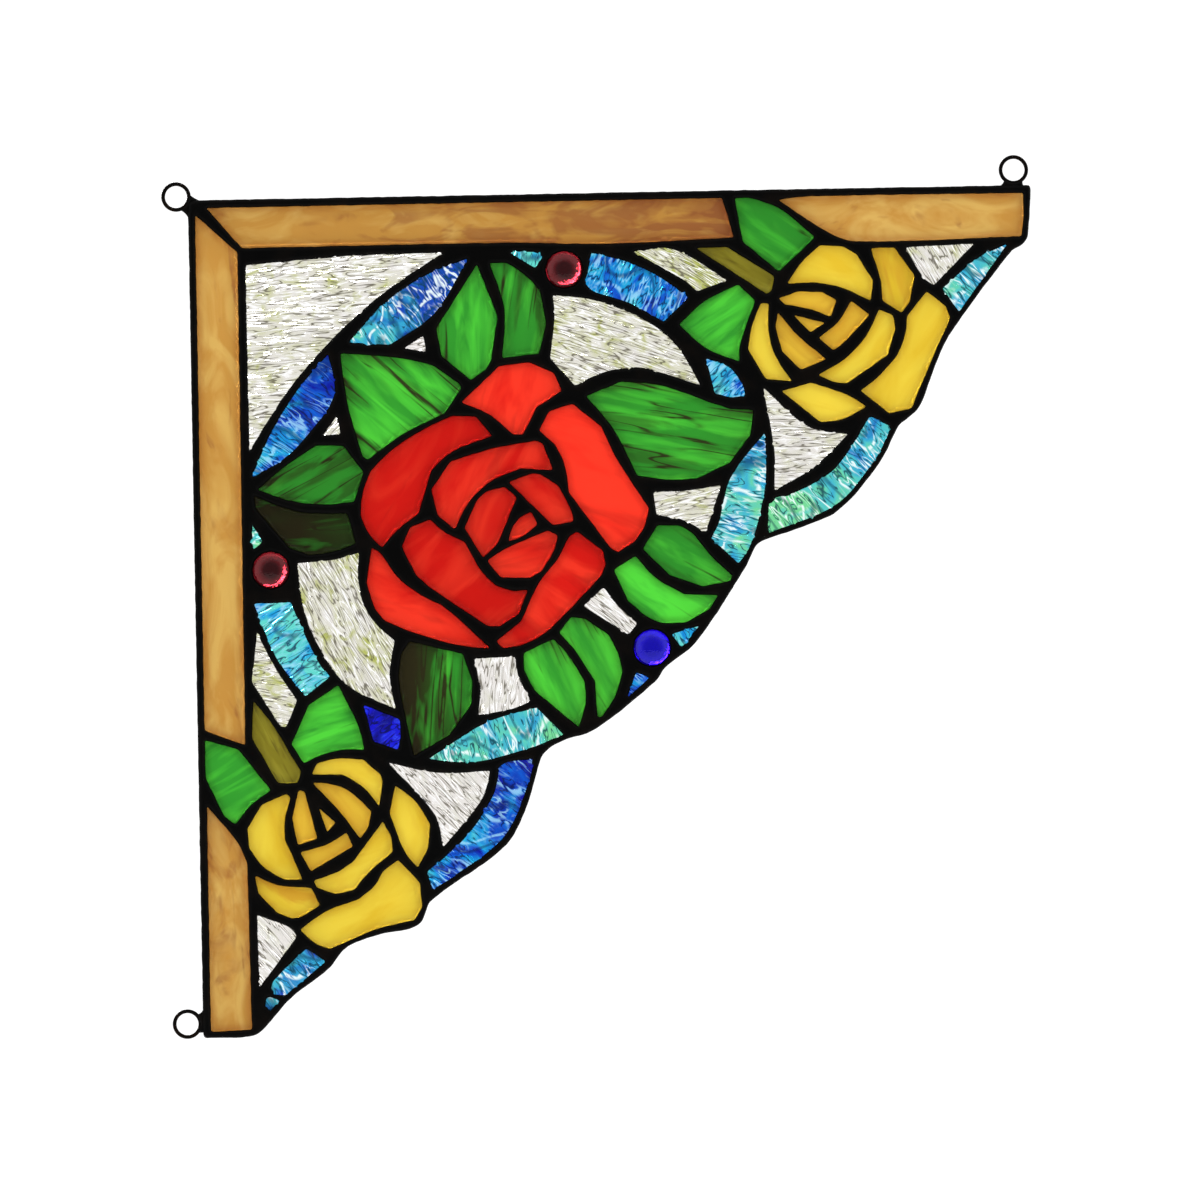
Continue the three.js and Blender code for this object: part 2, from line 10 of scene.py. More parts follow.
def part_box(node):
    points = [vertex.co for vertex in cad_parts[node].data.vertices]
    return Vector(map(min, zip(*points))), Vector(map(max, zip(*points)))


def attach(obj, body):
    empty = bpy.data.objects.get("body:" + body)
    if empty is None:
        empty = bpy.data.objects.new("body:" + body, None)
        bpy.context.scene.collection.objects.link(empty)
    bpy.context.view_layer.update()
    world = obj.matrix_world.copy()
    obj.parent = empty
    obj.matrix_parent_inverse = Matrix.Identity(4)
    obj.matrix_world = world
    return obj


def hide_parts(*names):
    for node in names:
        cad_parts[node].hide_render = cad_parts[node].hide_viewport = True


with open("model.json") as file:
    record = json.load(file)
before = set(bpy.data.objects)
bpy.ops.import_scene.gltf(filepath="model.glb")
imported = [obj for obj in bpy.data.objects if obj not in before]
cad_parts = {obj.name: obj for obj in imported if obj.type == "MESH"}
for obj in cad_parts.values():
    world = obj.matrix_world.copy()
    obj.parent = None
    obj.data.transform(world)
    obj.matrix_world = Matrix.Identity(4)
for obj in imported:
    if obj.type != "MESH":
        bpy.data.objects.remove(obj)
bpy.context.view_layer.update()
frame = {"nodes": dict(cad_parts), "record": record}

# Cutting pattern: a copper-foil panel is built over a full-size drawing whose lines
# are the seams. The flat front of the solder lattice holds that drawing, so the rim
# and the visible edge of every pane are read from it, and eased into hand-cut curves.
MM = 0.001
SAME_PLANE = 0.01 * MM
SAME_POINT = SAME_PLANE / 100
POINT_DIGITS = 6
SHARP_TURN = math.radians(21)
SWEPT_TURN = math.radians(38)
EDGE_STEP = 0.8 * MM
CORNER_PASSES = 1
WOBBLE = 0.16 * MM
WOBBLE_LENGTH = 4.5 * MM
WOBBLE_FALL = 1
WOBBLE_SPREAD = 2
WOBBLE_OCTAVES = 3
NICKS = {"clear_glass": 1.6 * MM, "turquoise_glass": 2.4 * MM, "azure_glass": 2.4 * MM}
NICK_LENGTH = 1.6 * MM
NICK_START = 0.3
ROW_SPACING = math.sqrt(0.75)
EDGE_CLEARANCE = 0.6
INSIDE_ONLY = 1
GEM_WINDOWS = "gems"


def front_loops(node):
    """The closed loops of (x, z) points in a node's flat front, turning left, the largest first."""
    mesh = node.data
    front = min(vertex.co.y for vertex in mesh.vertices)
    edges = set()
    for face in mesh.polygons:
        corners = [mesh.vertices[i].co for i in face.vertices]
        if max(corner.y for corner in corners) > front + SAME_PLANE:
            continue
        points = [(round(corner.x, POINT_DIGITS), round(corner.z, POINT_DIGITS)) for corner in corners]
        for start, end in zip(points, points[1:] + points[:1]):
            if (end, start) in edges:
                edges.remove((end, start))
            else:
                edges.add((start, end))
    following = dict(sorted(edges))
    loops = []
    while following:
        first, point = following.popitem()
        loop = [first]
        while point != first:
            loop.append(point)
            point = following.pop(point)
        x, z = np.array(loop).T
        leftward = np.dot(x, np.roll(z, -1)) > np.dot(z, np.roll(x, -1))
        loops.append(np.array(loop if leftward else loop[::-1]))
    return sorted(loops, key=lambda loop: -np.prod(np.ptp(loop, axis=0)))


def eased(loop, sharp_turn):
    """The loop as closely spaced points on round stretches between its sharp corners."""
    ahead = np.roll(loop, -1, axis=0) - loop
    length = np.linalg.norm(ahead, axis=1)[:, None]
    heading = ahead / length
    earlier = np.roll(heading, 1, axis=0)
    tangent = np.roll(loop, -1, axis=0) - np.roll(loop, 1, axis=0)
    tangent /= np.linalg.norm(tangent, axis=1)[:, None]
    turn = np.arccos(np.clip((heading * earlier).sum(axis=1), -1, 1))
    sharp = turn[:, None] > sharp_turn
    leaving = np.where(sharp, heading, tangent) * length
    arriving = np.roll(np.where(sharp, earlier, tangent), -1, axis=0) * length
    target = np.roll(loop, -1, axis=0)
    stretches = []
    for i, start in enumerate(loop):
        steps = max(1, round(length[i, 0] / EDGE_STEP))
        t = np.arange(steps)[:, None] / steps
        stretches.append(
            (2 * t**3 - 3 * t**2 + 1) * start
            + (t**3 - 2 * t**2 + t) * leaving[i]
            + (3 * t**2 - 2 * t**3) * target[i]
            + (t**3 - t**2) * arriving[i]
        )
    points = np.concatenate(stretches)
    for _ in range(CORNER_PASSES):
        points = (np.roll(points, 1, axis=0) + 2 * points + np.roll(points, -1, axis=0)) / 4
    return points


def pushed(points, amounts):
    """The points of a loop, each moved by its amount to the right of the loop's heading."""
    along = np.roll(points, -1, axis=0) - np.roll(points, 1, axis=0)
    along /= np.linalg.norm(along, axis=1)[:, None]
    return points + np.column_stack([along[:, 1], -along[:, 0]]) * np.reshape(amounts, (-1, 1))


def ragged(points, nick=0):
    """The loop with the unevenness of a hand-soldered edge, and nicks where the solder drew back."""
    places = [Vector((x, 0, z)) for x, z in points]
    waves = [
        WOBBLE * noise.fractal(place / WOBBLE_LENGTH, WOBBLE_FALL, WOBBLE_SPREAD, WOBBLE_OCTAVES)
        for place in places
    ]
    nicks = [nick * max(0, noise.noise(place / NICK_LENGTH) - NICK_START) for place in places]
    return pushed(points, np.add(waves, nicks))


def inside(points, loop):
    """Which of the points lie within a closed loop."""
    within = np.all((points >= loop.min(axis=0)) & (points <= loop.max(axis=0)), axis=1)
    x1, z1 = loop.T
    x2, z2 = np.roll(loop, -1, axis=0).T
    slope = (x2 - x1) / np.where(z1 == z2, 1, z2 - z1)
    for i in np.flatnonzero(within):
        x, z = points[i]
        crossed = ((z1 > z) != (z2 > z)) & (x < x1 + (z - z1) * slope)
        within[i] = crossed.sum() % 2
    return within


def flat_sheet(name, outer, holes, step):
    """A flat mesh of even triangles over an outline less its holes, facing the front."""
    low, high = outer.min(axis=0), outer.max(axis=0)
    columns = np.arange(low[0], high[0], step)
    rows = np.arange(low[1], high[1], step * ROW_SPACING)
    lines = []
    for i, z in enumerate(rows):
        lines.append(np.column_stack([columns + step / 2 * (i % 2), np.full(len(columns), z)]))
    grid = np.concatenate(lines)
    grid = grid[inside(grid, outer)]
    for hole in holes:
        grid = grid[~inside(grid, hole)]
    edge = np.concatenate([outer, *holes])
    tree = kdtree.KDTree(len(edge))
    for i, (x, z) in enumerate(edge):
        tree.insert((x, z, 0), i)
    tree.balance()
    free = [point for point in grid if tree.find((*point, 0))[2] > EDGE_CLEARANCE * step]
    starts = np.cumsum([0, len(outer), *map(len, holes)])
    rings = [list(range(start, end)) for start, end in zip(starts, starts[1:])]
    points = [Vector(point) for point in (*edge, *free)]
    points, _, faces, _, _, sources = geometry.delaunay_2d_cdt(points, [], rings, INSIDE_ONLY, SAME_POINT)
    mesh = bpy.data.meshes.new(name)
    kept = [face for face, source in zip(faces, sources) if source == [0]]
    mesh.from_pydata([(point.x, 0, point.y) for point in points], [], kept)
    return mesh


def front_faces(node):
    """The triangles of a node's flat front, as (x, z) corners."""
    mesh = frame["nodes"][node].data
    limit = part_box(node)[0].y + SAME_PLANE
    faces = [[mesh.vertices[i].co for i in face.vertices] for face in mesh.polygons]
    return [[point.xz for point in face] for face in faces if max(point.y for point in face) < limit]


def inner_point(loop):
    """A point well within a loop, also where the loop is a crescent."""
    flat = [Vector((x, z, 0)) for x, z in loop]
    parts = geometry.tessellate_polygon([flat])
    largest = max(parts, key=lambda part: geometry.area_tri(*[flat[i] for i in part]))
    return sum((flat[i] for i in largest), Vector()).xy / 3


slot_of = {part["node"]: part["material_slot"] for part in frame["record"]["subparts"]}
glass_fronts = {node: front_faces(node) for node, slot in slot_of.items() if slot.endswith("_glass")}
pattern = front_loops(frame["nodes"]["solder_lattice"])
rim = ragged(eased(pattern[0], SWEPT_TURN))
windows = []
windows_of = {node: [] for node in (*glass_fronts, GEM_WINDOWS)}
for loop in sorted(pattern[1:], key=lambda loop: -loop[:, 1].mean()):
    middle = inner_point(loop)
    behind = GEM_WINDOWS
    for node, faces in glass_fronts.items():
        if any(geometry.intersect_point_tri_2d(middle, *face) for face in faces):
            behind = node
    nick = NICKS.get(slot_of.get(behind), 0)
    window = ragged(eased(loop, SWEPT_TURN if nick else SHARP_TURN), nick)
    windows.append(window)
    windows_of[behind].append(window)

# Glass panes: each is cut from a sheet 3 mm thick, ground to the pattern and wrapped
# at its edge in copper foil, so that the solder later holds it. The sheet's rolled
# surface is a rule: ripples that run along the grain, strong or faint by the glass.
TUCK = 0.45 * MM
GLASS_THICK = 3 * MM
WALL_TILT = 0.3
FLOW = {"Scale": 1.0, "Detail": 1.0, "Roughness": 0.4, "Distortion": 0.5}
FLOW_TURNS = 2 * math.pi * 6


def add(tree, kind, inputs=None, **settings):
    """Adds a node with its settings, and sets or links each named input."""
    made = tree.nodes.new(kind)
    for name, value in settings.items():
        setattr(made, name, value)
    for name, value in (inputs or {}).items():
        if isinstance(value, bpy.types.NodeSocket):
            tree.links.new(value, made.inputs[name])
        else:
            made.inputs[name].default_value = value
    return made


def rule_tree(name, sizes):
    """A new geometry tree with a mesh, named sizes and a material as its inputs."""
    tree = bpy.data.node_groups.new(name, "GeometryNodeTree")
    tree.interface.new_socket("Geometry", in_out="INPUT", socket_type="NodeSocketGeometry")
    for size in sizes:
        tree.interface.new_socket(size, in_out="INPUT", socket_type="NodeSocketFloat")
    tree.interface.new_socket("Material", in_out="INPUT", socket_type="NodeSocketMaterial")
    tree.interface.new_socket("Geometry", in_out="OUTPUT", socket_type="NodeSocketGeometry")
    return tree, add(tree, "NodeGroupInput").outputs


def seam_distance(tree, sheet):
    """The sheet with each point's distance to the sheet's edge kept on it, and that distance."""
    sides = add(tree, "GeometryNodeInputMeshEdgeNeighbors").outputs["Face Count"]
    single = {2: sides, 3: 1}
    border = add(tree, "FunctionNodeCompare", single, data_type="INT", operation="EQUAL").outputs[0]
    chosen = {"Geometry": sheet, "Selection": border}
    lines = add(tree, "GeometryNodeSeparateGeometry", chosen, domain="EDGE").outputs[0]
    near = add(tree, "GeometryNodeProximity", {0: lines}, target_element="EDGES")
    distance = near.outputs["Distance"]
    named = {"Geometry": sheet, "Name": "seam_distance", "Value": distance}
    return add(tree, "GeometryNodeStoreNamedAttribute", named).outputs[0], distance


def slab(tree, sheet, thickness):
    """The sheet made a closed plate of that thickness, half of it on each side of y = 0."""
    half = add(tree, "ShaderNodeMath", {0: thickness, 1: 0.5}, operation="MULTIPLY").outputs[0]
    back = add(tree, "ShaderNodeCombineXYZ", {"Y": half}).outputs[0]
    rear = add(tree, "GeometryNodeSetPosition", {"Geometry": sheet, "Offset": back}).outputs[0]
    depth = add(tree, "ShaderNodeMath", {0: thickness, 1: -1.0}, operation="MULTIPLY").outputs[0]
    through = add(tree, "ShaderNodeCombineXYZ", {"Y": depth}).outputs[0]
    walls = add(tree, "GeometryNodeExtrudeMesh", {"Mesh": rear, "Offset": through, "Individual": False})
    lid = add(tree, "GeometryNodeFlipFaces", {"Mesh": rear}).outputs[0]
    both = add(tree, "GeometryNodeJoinGeometry")
    tree.links.new(walls.outputs["Mesh"], both.inputs[0])
    tree.links.new(lid, both.inputs[0])
    close = {"Geometry": both.outputs[0], "Distance": SAME_PLANE / 10}
    return add(tree, "GeometryNodeMergeByDistance", close).outputs[0]


def close_tree(tree, mesh, material, smooth_faces=True):
    """Ends a tree with smooth shading, realised instances and the material."""
    chosen = {"Geometry": mesh, "Selection": smooth_faces}
    smooth = add(tree, "GeometryNodeSetShadeSmooth", chosen).outputs[0]
    real = add(tree, "GeometryNodeRealizeInstances", {"Geometry": smooth}).outputs[0]
    painted = add(tree, "GeometryNodeSetMaterial", {"Geometry": real, "Material": material}).outputs[0]
    add(tree, "NodeGroupOutput", {"Geometry": painted})


def glass_tree():
    """A pane's rule: grooves along the grain sink into both faces, less into the back."""
    sizes = ["Thickness", "Groove Depth", "Groove Length", "Groove Width", "Back Share"]
    tree, given = rule_tree("rolled_glass", sizes)
    sheet, _ = seam_distance(tree, given["Geometry"])
    grain = add(tree, "GeometryNodeInputNamedAttribute", {"Name": "grain"}).outputs[0]
    place = add(tree, "GeometryNodeInputPosition").outputs[0]
    spin = {"Vector": place, "Angle": grain}
    turned = add(tree, "ShaderNodeVectorRotate", spin, rotation_type="Y_AXIS").outputs[0]
    along = add(tree, "ShaderNodeMath", {0: 1.0, 1: given["Groove Length"]}, operation="DIVIDE").outputs[0]
    across = add(tree, "ShaderNodeMath", {0: 1.0, 1: given["Groove Width"]}, operation="DIVIDE").outputs[0]
    stretch = add(tree, "ShaderNodeCombineXYZ", {"X": along, "Z": across}).outputs[0]
    drawn = add(tree, "ShaderNodeVectorMath", {0: turned, 1: stretch}, operation="MULTIPLY").outputs[0]
    flow = add(tree, "ShaderNodeTexNoise", {"Vector": drawn, **FLOW}).outputs[0]
    turns = add(tree, "ShaderNodeMath", {0: flow, 1: FLOW_TURNS}, operation="MULTIPLY").outputs[0]
    wave = add(tree, "ShaderNodeMath", {0: turns}, operation="SINE").outputs[0]
    relief = add(tree, "ShaderNodeMapRange", {"Value": wave, "From Min": -1.0}).outputs[0]
    named = {"Geometry": sheet, "Name": "relief", "Value": relief}
    marked = add(tree, "GeometryNodeStoreNamedAttribute", named).outputs[0]
    body = slab(tree, marked, given["Thickness"])
    depth = add(tree, "ShaderNodeSeparateXYZ", {0: place}).outputs["Y"]
    front = add(tree, "ShaderNodeMath", {0: depth, 1: 0.0}, operation="LESS_THAN").outputs[0]
    backed = add(tree, "ShaderNodeMath", {0: -1.0, 1: given["Back Share"]}, operation="MULTIPLY").outputs[0]
    share = add(tree, "ShaderNodeMapRange", {"Value": front, "To Min": backed, "To Max": 1.0}).outputs[0]
    wanted = add(tree, "GeometryNodeInputNamedAttribute", {"Name": "relief"}).outputs[0]
    sunk = add(tree, "ShaderNodeMath", {0: 1.0, 1: wanted}, operation="SUBTRACT").outputs[0]
    deep = add(tree, "ShaderNodeMath", {0: sunk, 1: given["Groove Depth"]}, operation="MULTIPLY").outputs[0]
    shift = add(tree, "ShaderNodeMath", {0: deep, 1: share}, operation="MULTIPLY").outputs[0]
    inward = add(tree, "ShaderNodeCombineXYZ", {"Y": shift}).outputs[0]
    grooved = add(tree, "GeometryNodeSetPosition", {"Geometry": body, "Offset": inward}).outputs[0]
    normal = add(tree, "GeometryNodeInputNormal").outputs[0]
    facing = add(tree, "ShaderNodeSeparateXYZ", {0: normal}).outputs["Y"]
    tilt = add(tree, "ShaderNodeMath", {0: facing}, operation="ABSOLUTE").outputs[0]
    broad = add(tree, "ShaderNodeMath", {0: tilt, 1: WALL_TILT}, operation="GREATER_THAN").outputs[0]
    close_tree(tree, grooved, given["Material"], broad)
    return tree


def shaped(name, mesh, tree, sizes, material):
    """A new object whose plain mesh is what the tree makes of a sheet with these sizes."""
    mesh.materials.append(material)
    piece = bpy.data.objects.new(name, mesh)
    bpy.context.scene.collection.objects.link(piece)
    rule = piece.modifiers.new("rule", "NODES")
    rule.node_group = tree
    values = {**sizes, "Material": material}
    for socket in tree.interface.items_tree:
        if socket.in_out == "INPUT" and socket.name in values:
            rule[socket.identifier] = values[socket.name]
    graph = bpy.context.evaluated_depsgraph_get()
    made = bpy.data.meshes.new_from_object(piece.evaluated_get(graph), depsgraph=graph)
    piece.modifiers.remove(rule)
    piece.data = made
    return piece


def grain_of(window):
    """The direction of a window's longest reach, as an angle from +X towards +Z, never leftward."""
    spread = np.cov((window - window.mean(axis=0)).T)
    x, z = np.linalg.eigh(spread)[1][:, -1]
    return math.atan2(z, x) if x > 0 else math.atan2(-z, -x)


rolled_glass = glass_tree()


def lay_pane(node, material, sizes, step, grains=None, darks=(0,), tones=(0,), drifts=(0,), fades=(0,)):
    """Makes the pane or panes of a glass node. Their tone may drift and their darkness fade to the right."""
    sheets = bmesh.new()
    layers = [sheets.verts.layers.float.new(name) for name in ("grain", "dark", "tone")]
    for i, window in enumerate(windows_of[node]):
        grain = grain_of(window) if grains is None else math.radians(grains[i % len(grains)])
        mesh = flat_sheet(node, pushed(window, np.full(len(window), TUCK)), [], step)
        first = len(sheets.verts)
        sheets.from_mesh(mesh)
        sheets.verts.ensure_lookup_table()
        left, right = window[:, 0].min(), window[:, 0].max()
        for vertex in sheets.verts[first:]:
            share = (vertex.co.x - left) / (right - left) - 0.5
            tone = tones[i % len(tones)] + drifts[i % len(drifts)] * share
            dark = darks[i % len(darks)] - fades[i % len(fades)] * share
            for layer, value in zip(layers, (grain, dark, tone)):
                vertex[layer] = value
        bpy.data.meshes.remove(mesh)
    cut = bpy.data.meshes.new(node)
    sheets.to_mesh(cut)
    sheets.free()
    pane = shaped(node + "_pane", cut, rolled_glass, sizes, material)
    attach(pane, "root")
    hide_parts(node)


# Border: long strips of wispy amber glass along the two straight edges, foiled and
# soldered in like the rest. The glass is milky enough to hide what is behind it and to
# glow when it is lit from there, and it is cut so that the wisps follow the strips.
MILKY_SHEET = {
    "Thickness": GLASS_THICK,
    "Groove Depth": 0.1 * MM,
    "Groove Length": 30 * MM,
    "Groove Width": 9 * MM,
    "Back Share": 0.5,
}
MILKY_STEP = 2 * MM
MILKY_SURFACE = {"Roughness": 0.22, "IOR": 1.52, "Transmission Weight": 0.6}
SCATTERED_SHARE = 0.7
FRONT_SHARE = 0.85
CLOUD_DETAIL = 3.0
CLOUD_RANGE = {"From Min": 0.38, "From Max": 0.62}
SMOKE_PLACE = (3.1, 0, 7.7)
SMOKE_START = 0.75
SMOKE_GROWTH = -0.7
SMOKE_SOFT = 0.14
SMOKE_STRENGTH = 1.6
THREAD_DETAIL = 1.0
THREAD_STRETCH = 0.6
THREAD_RANGE = {"From Min": -0.05, "From Max": 0.06}
# Painted shade: within this reach of a seam, each milky glass is multiplied towards its edge colour,
# standing in for the shade the solder casts on the glass.
SEAM_SHADE_RANGE = {"From Max": 3.5 * MM, "To Min": 0.8, "To Max": 0.0}
AMBER = {"body": "#BE8838", "pale": "#D2A854", "dark": "#8C4C28", "edge": "#F0C8A8"}
AMBER_WISPS = {
    "streak_long": 40 * MM,
    "streak_wide": 15 * MM,
    "thread_wide": 12 * MM,
    "thread_soft": 0.07,
    "thread_share": 0.6,
    "swirl": 2.2,
}
AMBER_DARK = {"amber_top": 0.4, "amber_top_right": 0.2, "amber_left": 0.16, "amber_foot": 0.3}
AMBER_FADE = {"amber_top": -0.35}
AMBER_TONE = {"amber_top": -0.12, "amber_top_right": -0.02, "amber_left": -0.03, "amber_foot": -0.03}


def linear(code):
    """An sRGB hex colour as linear red, green, blue and alpha."""
    parts = [int(code[i : i + 2], 16) / 255 for i in (1, 3, 5)]
    return (*[part / 12.92 if part <= 0.04045 else ((part + 0.055) / 1.055) ** 2.4 for part in parts], 1)


def blank_material(name):
    """A new material and its empty node tree."""
    material = bpy.data.materials.new(name)
    material.use_nodes = True
    material.node_tree.nodes.clear()
    return material, material.node_tree


def opalescent(
    name, body, pale, dark, edge, streak_long, streak_wide, thread_wide, thread_soft, thread_share, swirl
):
    """Milky sheet glass: paler and darker glass drawn out in clouds and threads, and light scattered in it.

    Each hex colour is what shows with light behind the pane. Scattered light crosses two faces, and the
    front one holds most of the colour. Near the seam the colour is multiplied towards the edge colour,
    a painted shade standing in for the shade of the solder.
    """
    material, tree = blank_material(name)
    place = add(tree, "ShaderNodeTexCoord").outputs["Object"]
    grain = add(tree, "ShaderNodeAttribute", attribute_name="grain").outputs["Fac"]
    dark_share = add(tree, "ShaderNodeAttribute", attribute_name="dark").outputs["Fac"]
    tone = add(tree, "ShaderNodeAttribute", attribute_name="tone").outputs["Fac"]
    inset = add(tree, "ShaderNodeAttribute", attribute_name="seam_distance").outputs["Fac"]
    spin = {"Vector": place, "Angle": grain}
    turned = add(tree, "ShaderNodeVectorRotate", spin, rotation_type="Y_AXIS").outputs[0]
    wide = (1 / streak_long, 1 / streak_wide, 1 / streak_wide)
    fine = (THREAD_STRETCH / streak_long, 1 / thread_wide, 1 / thread_wide)
    drawn = add(tree, "ShaderNodeMapping", {"Vector": turned, "Scale": wide}).outputs[0]
    spun = add(tree, "ShaderNodeMapping", {"Vector": turned, "Scale": fine}).outputs[0]
    apart = add(tree, "ShaderNodeMapping", {"Vector": drawn, "Location": SMOKE_PLACE}).outputs[0]
    melt = {"Scale": 1.0, "Detail": CLOUD_DETAIL, "Distortion": swirl}
    milk = add(tree, "ShaderNodeTexNoise", {"Vector": drawn, **melt}).outputs[0]
    smoke = add(tree, "ShaderNodeTexNoise", {"Vector": apart, **melt}).outputs[0]
    calm = {"Scale": 1.0, "Detail": THREAD_DETAIL, "Distortion": swirl / 4}
    lines = add(tree, "ShaderNodeTexNoise", {"Vector": spun, **calm}).outputs[0]
    lifted = add(tree, "ShaderNodeMath", {0: milk, 1: tone}, operation="ADD").outputs[0]
    milky = add(tree, "ShaderNodeMapRange", {"Value": lifted, **CLOUD_RANGE}).outputs[0]
    tints = {0: milky, 6: linear(body), 7: linear(pale)}
    mixed = add(tree, "ShaderNodeMix", tints, data_type="RGBA").outputs[2]
    growth = {0: dark_share, 1: SMOKE_GROWTH, 2: SMOKE_START}
    start = add(tree, "ShaderNodeMath", growth, operation="MULTIPLY_ADD").outputs[0]
    above = add(tree, "ShaderNodeMath", {0: smoke, 1: start}, operation="SUBTRACT").outputs[0]
    smoky = add(tree, "ShaderNodeMapRange", {"Value": above, "From Max": SMOKE_SOFT}).outputs[0]
    dense = {0: dark_share, 1: SMOKE_STRENGTH}
    thick = add(tree, "ShaderNodeMath", dense, operation="MULTIPLY", use_clamp=True).outputs[0]
    clouded = add(tree, "ShaderNodeMath", {0: smoky, 1: thick}, operation="MULTIPLY").outputs[0]
    off = add(tree, "ShaderNodeMath", {0: lines, 1: 0.5}, operation="SUBTRACT").outputs[0]
    flank = add(tree, "ShaderNodeMath", {0: off}, operation="ABSOLUTE").outputs[0]
    slope = {"From Min": thread_soft / 4, "From Max": thread_soft, "To Min": thread_share, "To Max": 0.0}
    ridge = add(tree, "ShaderNodeMapRange", {"Value": flank, **slope}).outputs[0]
    among = add(tree, "ShaderNodeMapRange", {"Value": above, **THREAD_RANGE}).outputs[0]
    threads = add(tree, "ShaderNodeMath", {0: ridge, 1: among}, operation="MULTIPLY").outputs[0]
    shadow = add(tree, "ShaderNodeMath", {0: clouded, 1: threads}, operation="MAXIMUM").outputs[0]
    smoked = {0: shadow, 6: mixed, 7: linear(dark)}
    streaked = add(tree, "ShaderNodeMix", smoked, data_type="RGBA").outputs[2]
    # Painted shade near the seams: the colour is multiplied towards the edge colour as the seam comes
    # closer.
    seam_shade_mask = add(tree, "ShaderNodeMapRange", {"Value": inset, **SEAM_SHADE_RANGE}).outputs[0]
    shade = {0: seam_shade_mask, 6: streaked, 7: linear(edge)}
    seam_shaded = add(tree, "ShaderNodeMix", shade, data_type="RGBA", blend_type="MULTIPLY").outputs[2]
    gain = add(tree, "ShaderNodeMath", {0: tone, 1: 1.0}, operation="ADD").outputs[0]
    shown = add(tree, "ShaderNodeVectorMath", {0: seam_shaded, "Scale": gain}, operation="SCALE").outputs[0]
    depth = add(tree, "ShaderNodeSeparateXYZ", {0: place}).outputs["Y"]
    front = add(tree, "ShaderNodeMath", {0: depth, 1: 0.0}, operation="LESS_THAN").outputs[0]
    shares = {"Value": front, "To Min": 1 - FRONT_SHARE, "To Max": FRONT_SHARE}
    part = add(tree, "ShaderNodeMapRange", shares).outputs[0]
    rooted = add(tree, "ShaderNodeGamma", {"Color": shown, "Gamma": part}).outputs[0]
    face = add(tree, "ShaderNodeBsdfPrincipled", {"Base Color": shown, **MILKY_SURFACE}).outputs[0]
    through = add(tree, "ShaderNodeBsdfTranslucent", {"Color": rooted}).outputs[0]
    both = add(tree, "ShaderNodeMixShader", {0: SCATTERED_SHARE, 1: face, 2: through}).outputs[0]
    add(tree, "ShaderNodeOutputMaterial", {"Surface": both})
    return material


# A warm honey-brown glow with rusty wisps that curl along the strip.
amber_glass = opalescent("wispy_amber_opalescent_glass", **AMBER, **AMBER_WISPS)
for node, dark in AMBER_DARK.items():
    tones = (AMBER_TONE[node],)
    fades = (AMBER_FADE.get(node, 0),)
    lay_pane(node, amber_glass, MILKY_SHEET, MILKY_STEP, darks=(dark,), tones=tones, fades=fades)

# Clear ground: panes of colourless rolled glass behind the flowers, foiled and soldered
# in. The rolled grooves bend the light from behind, and the fine grey lines and white crests
# that this draws are painted into the glass colour too, as painted shade and painted
# highlights, and each pane is cut with its own grain.
RIPPLED_STEP = 0.6 * MM
RIPPLED_SURFACE = {"Roughness": 0.03, "IOR": 1.5, "Transmission Weight": 1.0}
CRINKLE = {"Scale": 1.0, "Detail": 1.8, "Roughness": 0.5, "Distortion": 0.4}
CRINKLE_BUMP = {"Strength": 0.3, "Distance": 0.15 * MM}
PATCH_STRETCH = 0.7
PATCH_CLOUD = {"Scale": 1.0, "Detail": 3.0, "Distortion": 1.0}
TONE_WEIGHT = 0.4
TINT_RANGE = {"From Min": 0.25, "From Max": 0.75}
# Ranges of the painted highlights on the crests and ridges, and of the painted shade in the grooves and
# troughs, of rippled glass.
HIGHLIGHT_PATCH_RANGE = {"From Min": 0.45, "From Max": 0.6}
CREST_HIGHLIGHT_RANGE = {"From Min": 0.6, "From Max": 0.95}
RIDGE_HIGHLIGHT_RANGE = {"From Min": 0.8, "From Max": 1.0}
BREAK_RANGE = {"From Min": -0.6, "From Max": 0.6}
GROOVE_SHADE_RANGE = {"From Min": -1.0, "From Max": -0.7, "To Min": 0.9, "To Max": 0.0}
TROUGH_SHADE_RANGE = {"From Min": -1.0, "From Max": -0.75}
CLEAR_SHEET = {
    "Thickness": GLASS_THICK,
    "Groove Depth": 0.2 * MM,
    "Groove Length": 30 * MM,
    "Groove Width": 5 * MM,
    "Back Share": 0.3,
}
# The pale colour is that of the painted highlights on the crests, and the darker line colour that of the
# painted shade in the grooves.
CLEAR = {
    "palette": ("#B4BA64", "#D2D2B4", "#DCDACC", "#E2DFD9", "#E6E2DE"),
    "pale": "#FFFFFF",
    "painted_shade_colour": "#605A4A",
    "crinkle_long": 20 * MM,
    "crinkle_wide": 2.5 * MM,
    "folds": 6.5,
    "patch_size": 6 * MM,
    "highlight_share": 1,
    "band_shade_share": 0,
}
CLEAR_GRAIN = {
    "clear_corner": 3,
    "clear_sliver_top": 10,
    "clear_sliver_left": 40,
    "clear_above_leaf": -18,
    "clear_right_stem": -30,
    "clear_right_end": -60,
    "clear_right_middle": 10,
    "clear_right_low": 0,
    "clear_left_big": -62,
    "clear_left_stem": -10,
    "clear_bottom_middle": 85,
    "clear_bottom_low": -45,
    "clear_between_leaves": -40,
    "clear_foot": -50,
}
CLEAR_TONE = {
    "clear_bottom_middle": 0.5,
    "clear_bottom_low": 0.5,
    "clear_between_leaves": 0.5,
    "clear_foot": 0.3,
    "clear_right_low": 0.2,
    "clear_right_end": 0.1,
    "clear_sliver_top": 0.6,
    "clear_right_stem": -0.35,
    "clear_left_big": -0.15,
    "clear_above_leaf": -0.15,
    "clear_left_stem": -0.15,
}


